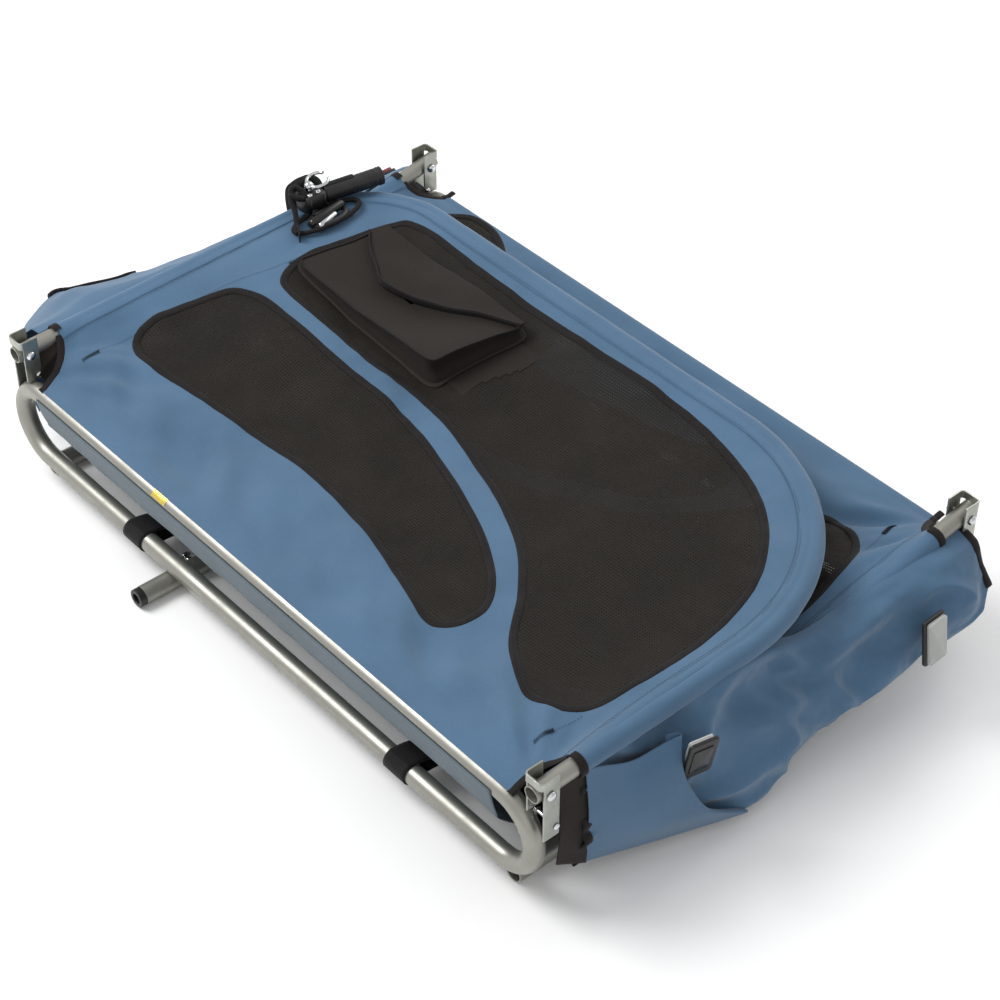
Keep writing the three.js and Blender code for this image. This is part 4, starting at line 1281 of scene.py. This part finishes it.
def add_front_curtain():
    curtain, points = draped("front_curtain_cloth", FRONT_CLOTH, 1, 300, 110, 51, 11.0)
    settle(curtain, "base", "blue_fabric", "front_curtain")
    for name, edge in (("front_curtain_binding", points[-1]), ("front_opening_binding", points[0])):
        hem_tape(name, evenly(edge, 40), 9.0, (0, 1, 0))


def add_front_fold():
    """The flap folded over the front curtain's near end, its far edge tucked back."""
    far = through(FOLD_EDGE, 60)
    near = through(FOLD_NEAR, 60)
    across = np.linspace(0, 1, 80)[:, None]
    down = np.linspace(0, 1, 60)[None, :]
    points = near + (far - near) * across[..., None]
    points[..., 2] -= 9 * bump(2 * across - 1) * (1 - down) ** 2
    belly = 5 * bump(2 * across - 1) * bump(2 * down - 1)
    points[..., 0] += belly + 1.6 * ripple(across * 130, down * 140, 42, 61)
    tucks = [[points[-1] + step] for step in ((-2, 1.5, 0), (-6, 0, 0), (-9, -12, 2))]
    points = np.concatenate([points, *tucks])
    fold = grid("front_fold_cloth", points[:, ::-1], BLUE, thick=CLOTH)
    settle(fold, "base", "blue_fabric")


def add_corner_gore():
    """The black gore between the front right bracket and the curtain, hanging nearly to the floor."""
    rows = []
    for share in np.linspace(0, 1, 16):
        z = np.linspace(158 + 6 * share, 52 - 18 * share, 30)
        x = 452 + 6 * bump((z - 100) / 70) + 5 * share + 1.6 * ripple(z, share * 20, 24, 71)
        rows.append(np.stack([x, np.full(30, -272 + 34 * share), z], -1))
    gore = grid("corner_gore", np.array(rows)[:, ::-1], BLACK, thick=1.2)
    settle(gore, "base", "black_fabric")


def add_rear_curtain():
    curtain, points = draped("rear_curtain_cloth", REAR_CLOTH, -1, 240, 100, 81, 2.6)
    settle(curtain, "base", "blue_fabric", "rear_curtain")
    crest = points[np.arange(len(points)), (points[..., 2] - 0.82 * points[..., 0]).argmax(1)]
    edge = crest[(crest[:, 1] > -188) & (crest[:, 1] < -70)] + (-1.0, 0, 1.0)
    hem_tape("rear_edge_binding", evenly(edge, 50), 8.0, (0, 0, 1))


# ---------------- reflectors
REFLECTORS = {
    "front_left": ((514.5, 180, 106), -8, 2, 1, CLEAR_LENS, "clear_lens"),
    "front_right": ((494, -129, 131), 12, -12, -1, CLEAR_LENS, "clear_lens"),
    "rear_left": ((-470, 262, 117), 24, 0, -1, RED_LENS, "red_lens"),
    "rear_right": ((-524, -150, 84), -18, 0, -1, RED_LENS, "red_lens"),
}
LENS_HALF = (16, 28)
PLATE_EDGE = 0.8


def rounded_plate(name, half_y, half_z, x0, x1, r, material):
    """A plate with rounded corners and softened faces, between two places along X."""
    outline = np.concatenate([
        arc((cy * (half_y - r), cz * (half_z - r)), r, start, start + 90, 7)
        for cy, cz, start in ((1, -1, -90), (1, 1, 0), (-1, 1, 90), (-1, -1, 180))
    ])
    face = 1 - PLATE_EDGE / half_y
    soft = PLATE_EDGE * 0.6
    steps = ((x0, 0.0), (x0, face), (x0 + soft, 1), (x1 - soft, 1), (x1, face), (x1, 0.0))
    rings = [[(x, a * k, b * k) for a, b in outline] for x, k in steps]
    return grid(name, np.array(rings)[:, ::-1], material, close_columns=True)


def add_reflector(name, where, tilt, yaw, facing, look, slot):
    """A case with a lens on its facing side (1 front, -1 rear), tilted and turned about its middle."""
    half_y, half_z = LENS_HALF
    turn = Matrix.Rotation(math.radians(yaw), 4, "Z") @ Matrix.Rotation(math.radians(tilt), 4, "Y")
    turn = Matrix.Translation(Vector(where) * MM) @ turn
    rim, face = sorted((-facing * 2, -facing * 3.2)), sorted((facing * 2.1, facing * 7))
    case = joined(f"{name}_reflector_case", [
        rounded_plate("case", half_y, half_z, -2, 2, 4, PLASTIC),
        rounded_plate("rim", half_y * 0.72, half_z * 0.66, *rim, 3, GLOSS_PLASTIC),
    ])
    glass = rounded_plate(f"{name}_lens", half_y - 2.6, half_z - 2.6, *face, 3, look)
    for part, part_slot, node in ((case, "black_plastic", "housing"), (glass, slot, "lens")):
        part.data.transform(turn)
        settle(part, "base", part_slot, f"{name}_reflector_{node}")


# ---------------- coupler on the right hoop's rear leg
CLAMP_REACH = 395
CLAMP_HALF = 14
SOCKET_START = np.array([13.0, 413, 23])
SOCKET_ALONG = np.array([18.0, 72, 3])
SOCKET_R = 10.6
SOCKET_BORE_R = 7.2
PIN_X = 8


def hoop_place(points):
    """Row-frame points for (x from the rear leg, reach, height) on the right hoop."""
    points = np.asarray(points, float)
    return on_hoop(-1, REAR_X + points[..., 0], points[..., 1], points[..., 2])


def moulded(name, outline, low, high, soft):
    """An outline (x, height) pushed along reach from low to high, on the right hoop."""
    rings = []
    centre = np.mean(outline, axis=0)
    steps = ((low, 0.0), (low, 0.97), (low + soft, 1), (high - soft, 1), (high, 0.97), (high, 0.0))
    for reach, shrink in steps:
        rings.append([(*(centre + (np.array(p) - centre) * shrink), reach) for p in outline])
    rings = np.array(rings)[..., [0, 2, 1]]
    return grid(name, hoop_place(rings)[:, ::-1], PLASTIC, close_columns=True)


def capsule(name, start, end, radius, material, count=24):
    """A rod with round ends."""
    start, end = np.asarray(start, float), np.asarray(end, float)
    along = (end - start) / np.linalg.norm(end - start)
    side = np.cross(along, (0, 0, 1.0))
    side /= np.linalg.norm(side)
    circle = ring(1, count)
    circle = side * circle[:, :1] + np.cross(side, along) * circle[:, 1:]
    rings = []
    for centre, turns in ((start, range(-90, 1, 15)), (end, range(0, 91, 15))):
        for turn in np.radians(turns):
            rings.append(centre + along * radius * math.sin(turn) + circle * (radius * math.cos(turn) + 1e-3))
    return grid(name, np.array(rings), material, close_columns=True)


def oval(centre, major, minor, count, start=0, end=360, lean=0.0):
    """(x, reach, height) round an ellipse flat on the hoop. A whole one leaves out its last point."""
    a = np.radians(np.linspace(start, end, count))
    a = a[:-1] if end - start == 360 else a
    x, reach = centre[0] + minor * np.cos(a), centre[1] + major * np.sin(a)
    return np.stack([x, reach, centre[2] + lean * np.sin(a)], -1)


def add_clamp():
    """The clamp block, a raised rib near each end and two screw heads on top."""
    grip = [(-14, -10), (-10, -13), (7, -13), (10.8, -10), (10.8, 13), (22, 13), (24, 15), (24, 31), (21, 34),
            (-10, 34), (-14, 30)]
    rib = [(-15, -8), (11.6, -8), (11.6, 12), (24.8, 14), (24.8, 32), (-15, 32)]
    parts = [moulded("coupler_grip", grip, CLAMP_REACH - CLAMP_HALF, CLAMP_REACH + CLAMP_HALF, 1.2)]
    for reach in (CLAMP_REACH - 10, CLAMP_REACH + 10):
        parts.append(moulded("rib", rib, reach - 1.4, reach + 1.4, 0.4))
    for reach in (CLAMP_REACH - 6, CLAMP_REACH + 6):
        steps = ((0.01, 36.2), (2.6, 36.0), (3.4, 35.2), (3.4, 33.5))
        head = [hoop_place(oval((17, reach, height), r, r, 25)) for r, height in steps]
        parts.append(grid("screw", np.array(head)[:, ::-1], CHROME, close_columns=True))
    settle(joined("coupler_clamp_set", parts), "right_side", "black_plastic", "coupler_clamp")


def add_socket():
    """The open sleeve that takes the tow arm, with fine rings on its far half and a ridge on its side."""
    line = hoop_place(SOCKET_START + SOCKET_ALONG * np.linspace(0, 1, 60)[:, None])
    steps = np.linspace(0, 74, 60)
    rings = (np.abs(np.sin(steps * math.pi / 6.0)) > 0.35) * (steps > 40)
    radius = SOCKET_R + 0.35 * rings + 0.35 * (steps > 68)
    around = along_line(line, ring(1, 36)) - line[:, None]
    outer = line[:, None] + around * radius[:, None, None]
    points = np.concatenate([outer, (line[:, None] + around * SOCKET_BORE_R)[::-1]])
    socket = net("coupler_sleeve", points, grid_faces(len(points), 36, True, True), PLASTIC)
    settle(rounded(socket, 0.8, 3, 50), "right_side", "black_plastic", "coupler_socket")
    ends = SOCKET_START + SOCKET_ALONG * np.array([[0.02], [0.5]]) + (-2.2, 0, 10.2)
    settle(capsule("coupler_ridge", *hoop_place(ends), 3.2, GLOSS_PLASTIC), "right_side", "black_plastic")


def add_pull_ring():
    stem, dome = ([(PIN_X, CLAMP_REACH, height) for height in heights] for heights in ((15, 43), (38, 40)))
    loop = hoop_place(oval((PIN_X, CLAMP_REACH + 13, 43), 13, 13, 60, -250, 60, lean=2.2))
    parts = [
        capsule("stem", *hoop_place(stem), 2.9, CHROME),
        capsule("dome", *hoop_place(dome), 6.2, CHROME, count=32),
        tube("ring", loop, 2.2, CHROME, count=16),
    ]
    settle(joined("pull_ring", parts), "coupler_pull", "chrome", "coupler_pin")


def add_safety_strap():
    """Webbing over the clamp, its knot with a loose end, and the plastic ring it holds."""
    section = flat_section(14, -0.8, 0.8)
    route = [(-6, 378.4, 6), (-7, 378.2, 22), (-6, 379, 34), (-5, 383, 37.2), (-7, 391, 37.2),
             (-6, 399, 37.6), (-5, 406, 36.8), (0, 411.5, 33), (6, 411.5, 22), (14, 404, 16),
             (24, 394, 14.6), (36, 384, 14.8)]
    strap = swept("safety_webbing", hoop_place(through(route, 90)), section, WEBBING)
    knot = [(0, 374, 32), (6, 370, 38), (14, 373, 36), (16, 381, 33), (10, 384, 38), (2, 380, 42),
            (2, 373, 40), (10, 367, 33), (20, 364, 25), (30, 358, 18), (38, 352, 13.5), (44, 350, 13)]
    knot = tube("strap_knot", hoop_place(through(knot, 110)), 3.4, WEBBING, count=12)
    tail = through([(36, 354, 14), (44, 350, 14.2), (53, 345, 13.6)], 16)
    tail = swept("strap_tail", hoop_place(tail), section, WEBBING)
    settle(strap, "right_side", "webbing", "safety_strap")
    for extra in (knot, tail):
        settle(extra, "right_side", "webbing")
    clip = hoop_place(oval((42, 395, 14.2), 25, 12.5, 60))
    clip = tube("clip_ring", clip, 3.4, PLASTIC, closed=True, count=16)
    settle(clip, "right_side", "black_plastic", "strap_clip")
    edge = hoop_place(oval((38, 396, 12.2), 47, 17, 80))
    edge = tube("coupler_opening_binding", edge, 3.0, TAPE, closed=True, count=10)
    settle(edge, "right_side", "black_fabric")
    for rod in (
        capsule("snap_hook", *hoop_place([(44, 372, 17.5), (36, 418, 18)]), 5.8, GLOSS_PLASTIC),
        capsule("snap_gate", *hoop_place([(51, 378, 15), (45, 402, 15.5)]), 4.0, CHROME),
    ):
        settle(rod, "right_side", "black_plastic")


# ---------------- inside, on the floor cloth
PAD_ROUND = 0.04


def pad(name, low, high, channels, material, puff):
    """A flat cushion along X with round edges, drawn in by puff along its stitched channels."""
    low, high = np.asarray(low, float), np.asarray(high, float)
    centre, half = (low + high) / 2, (high - low) / 2
    angles = [2 * math.pi * k / 64 for k in range(64)]
    shares = np.concatenate([[0.004, 0.016, 0.036], np.linspace(0.06, 0.94, 90), [0.964, 0.984, 0.996]])
    rings = [[(low[0], *centre[1:])] * 64]
    for share in shares:
        x = low[0] + share * (high[0] - low[0])
        near_end = 1 - min(share, 1 - share, PAD_ROUND) / PAD_ROUND
        full = math.sqrt(1 - near_end**2)
        drawn = 1 - puff * sum(bump((x - channel) / 16) for channel in channels)
        ring_points = []
        for c, s in ((math.cos(a), math.sin(a)) for a in angles):
            y = np.sign(c) * abs(c) ** 0.24 * (half[1] - 2.5 + 2.5 * full)
            z = np.sign(s) * abs(s) ** 0.6 * half[2] * (0.25 + 0.75 * full) * drawn
            ring_points.append((x, centre[1] + y, centre[2] + z * (1 - 0.06 * (1 + ripple(x, y, 26, 91)))))
        rings.append(ring_points)
    rings.append([(high[0], *centre[1:])] * 64)
    return grid(name, np.array(rings)[:, ::-1], material, close_columns=True)


def add_sling():
    low, high = low_high("floor_sling")
    xs, ys = np.linspace(low[0], high[0], 120), np.linspace(low[1], high[1], 80)
    gx, gy = np.meshgrid(xs, ys, indexing="ij")
    z = high[2] - 0.5 + 0.5 * ripple(gx, gy, 90, 92) * smooth((high[1] - np.abs(gy)) / 40)
    points = np.stack([gx, gy, z], -1)
    sling = grid("floor_cloth", points, BLACK, thick=1.4)
    settle(sling, "base", "seat_fabric", "floor_sling")


def add_seat():
    """The quilted back and cushion, with the harness straps and buckle."""
    for node, piece_name, inset, count, puff, fill in (
        ("seat_back", "seat_back_pad", 60, 4, 0.3, 0.5), ("seat_cushion", "seat_pad", 70, 3, 0.22, 0.7),
    ):
        low, high = low_high(node)
        channels = np.linspace(low[0] + inset, high[0] - inset, count)
        cushion = pad(piece_name, low, high, channels, SEAT_CLOTH, puff)
        settle(cushion, "base", "seat_fabric", node)
    for side in NAMES.values():
        node = f"{side}_harness_strap"
        low, high = low_high(node)
        gx, gy = np.meshgrid(np.linspace(low[0], high[0], 7), np.linspace(low[1], high[1], 60), indexing="ij")
        z = (low[2] + high[2]) / 2 + 0.5 * np.cos((gy - low[1]) / 24)
        strap = grid(f"{node}_webbing", np.stack([gx, gy, z], -1), WEBBING, thick=1.4)
        settle(strap, "base", "webbing", node)
    low, high = low_high("harness_buckle")
    body = pad("buckle_body", low, high - (12, 0, 0), [], PLASTIC, 0)
    tongue_low = (high[0] - 18, low[1] + 10, low[2] + 2)
    tongue = pad("buckle_tongue", tongue_low, high - (0, 10, 2), [], GLOSS_PLASTIC, 0)
    settle(joined("buckle", [body, tongue]), "base", "black_plastic", "harness_buckle")


def add_roof_roll():
    """The roof cloth, rolled up loosely along the floor and tied twice."""
    low, high = low_high("roof_roll")
    centre, half = (low + high) / 2, (high - low) / 2
    ties = (centre[0] - 160, centre[0] + 180)
    turns = np.linspace(0, 2 * math.pi, 72, endpoint=False)
    rings = []
    for x in np.linspace(low[0] + 1, high[0] - 1, 220):
        tight = 1 - 0.16 * sum(bump((x - tie) / 30) for tie in ties)
        r = (0.93 + 0.07 * ripple(x, turns * 22, 34, 93)) * tight
        y, z = centre[1] + half[1] * np.cos(turns) * r, centre[2] + half[2] * np.sin(turns) * r
        rings.append(np.stack([np.full(72, x), y, z], -1))
    start, end = (np.tile(rings[k].mean(0), (72, 1)) for k in (0, -1))
    spiral = [rings[0] + (start - rings[0]) * k + (3 * (k % 0.4 > 0.2), 0, 0) for k in (0.8, 0.6, 0.4, 0.2)]
    roll = grid("roof_cloth_roll", np.array([start, *spiral, *rings, end]), BLUE, close_columns=True)
    settle(roll, "base", "blue_fabric", "roof_roll")
    section = flat_section(12, -0.6, 0.8)
    circle = ring(1, 60) * half[1:] * (0.82, 0.84) + centre[1:]
    for i, tie in enumerate(ties):
        line = [(tie, y, z) for y, z in circle]
        settle(swept(f"roof_tie_{i}", line, section, WEBBING, up=(1, 0, 0), closed=True), "base", "webbing")


TOW_ARM_R = 12.2
TOW_ARM_BORE_R = 10.8


def add_tow_arm():
    """The tow arm, stowed along the floor under the seat."""
    low, high = low_high("tow_arm")
    z = (low[2] + high[2]) / 2
    y = high[1] - 13.5
    places = [(299, y), (150, y), (-60, y), (-190, y), (-270, y - 15), (-330, y - 55), (-359, y - 94)]
    line = [(a, b, z) for a, b in through(places, 150)]
    arm = tube("tow_arm_tube", line, TOW_ARM_R, TUBE_PAINT, bore=TOW_ARM_BORE_R)
    settle(arm, "base", "painted_tube", "tow_arm")


add_tubes()
add_axle_ends()
add_brackets()
RIGHT_PANEL = add_panel(-1)
LEFT_PANEL = add_panel(1)
for panel in (RIGHT_PANEL, LEFT_PANEL):
    add_panel_details(panel)
    add_skirt(panel.side)
add_floor_straps()
add_sticker()
add_pocket(RIGHT_PANEL)
add_backing(RIGHT_PANEL)
add_front_curtain()
add_front_fold()
add_corner_gore()
add_rear_curtain()
for name, values in REFLECTORS.items():
    add_reflector(name, *values)
add_clamp()
add_socket()
add_pull_ring()
add_safety_strap()
add_sling()
add_seat()
add_roof_roll()
add_tow_arm()
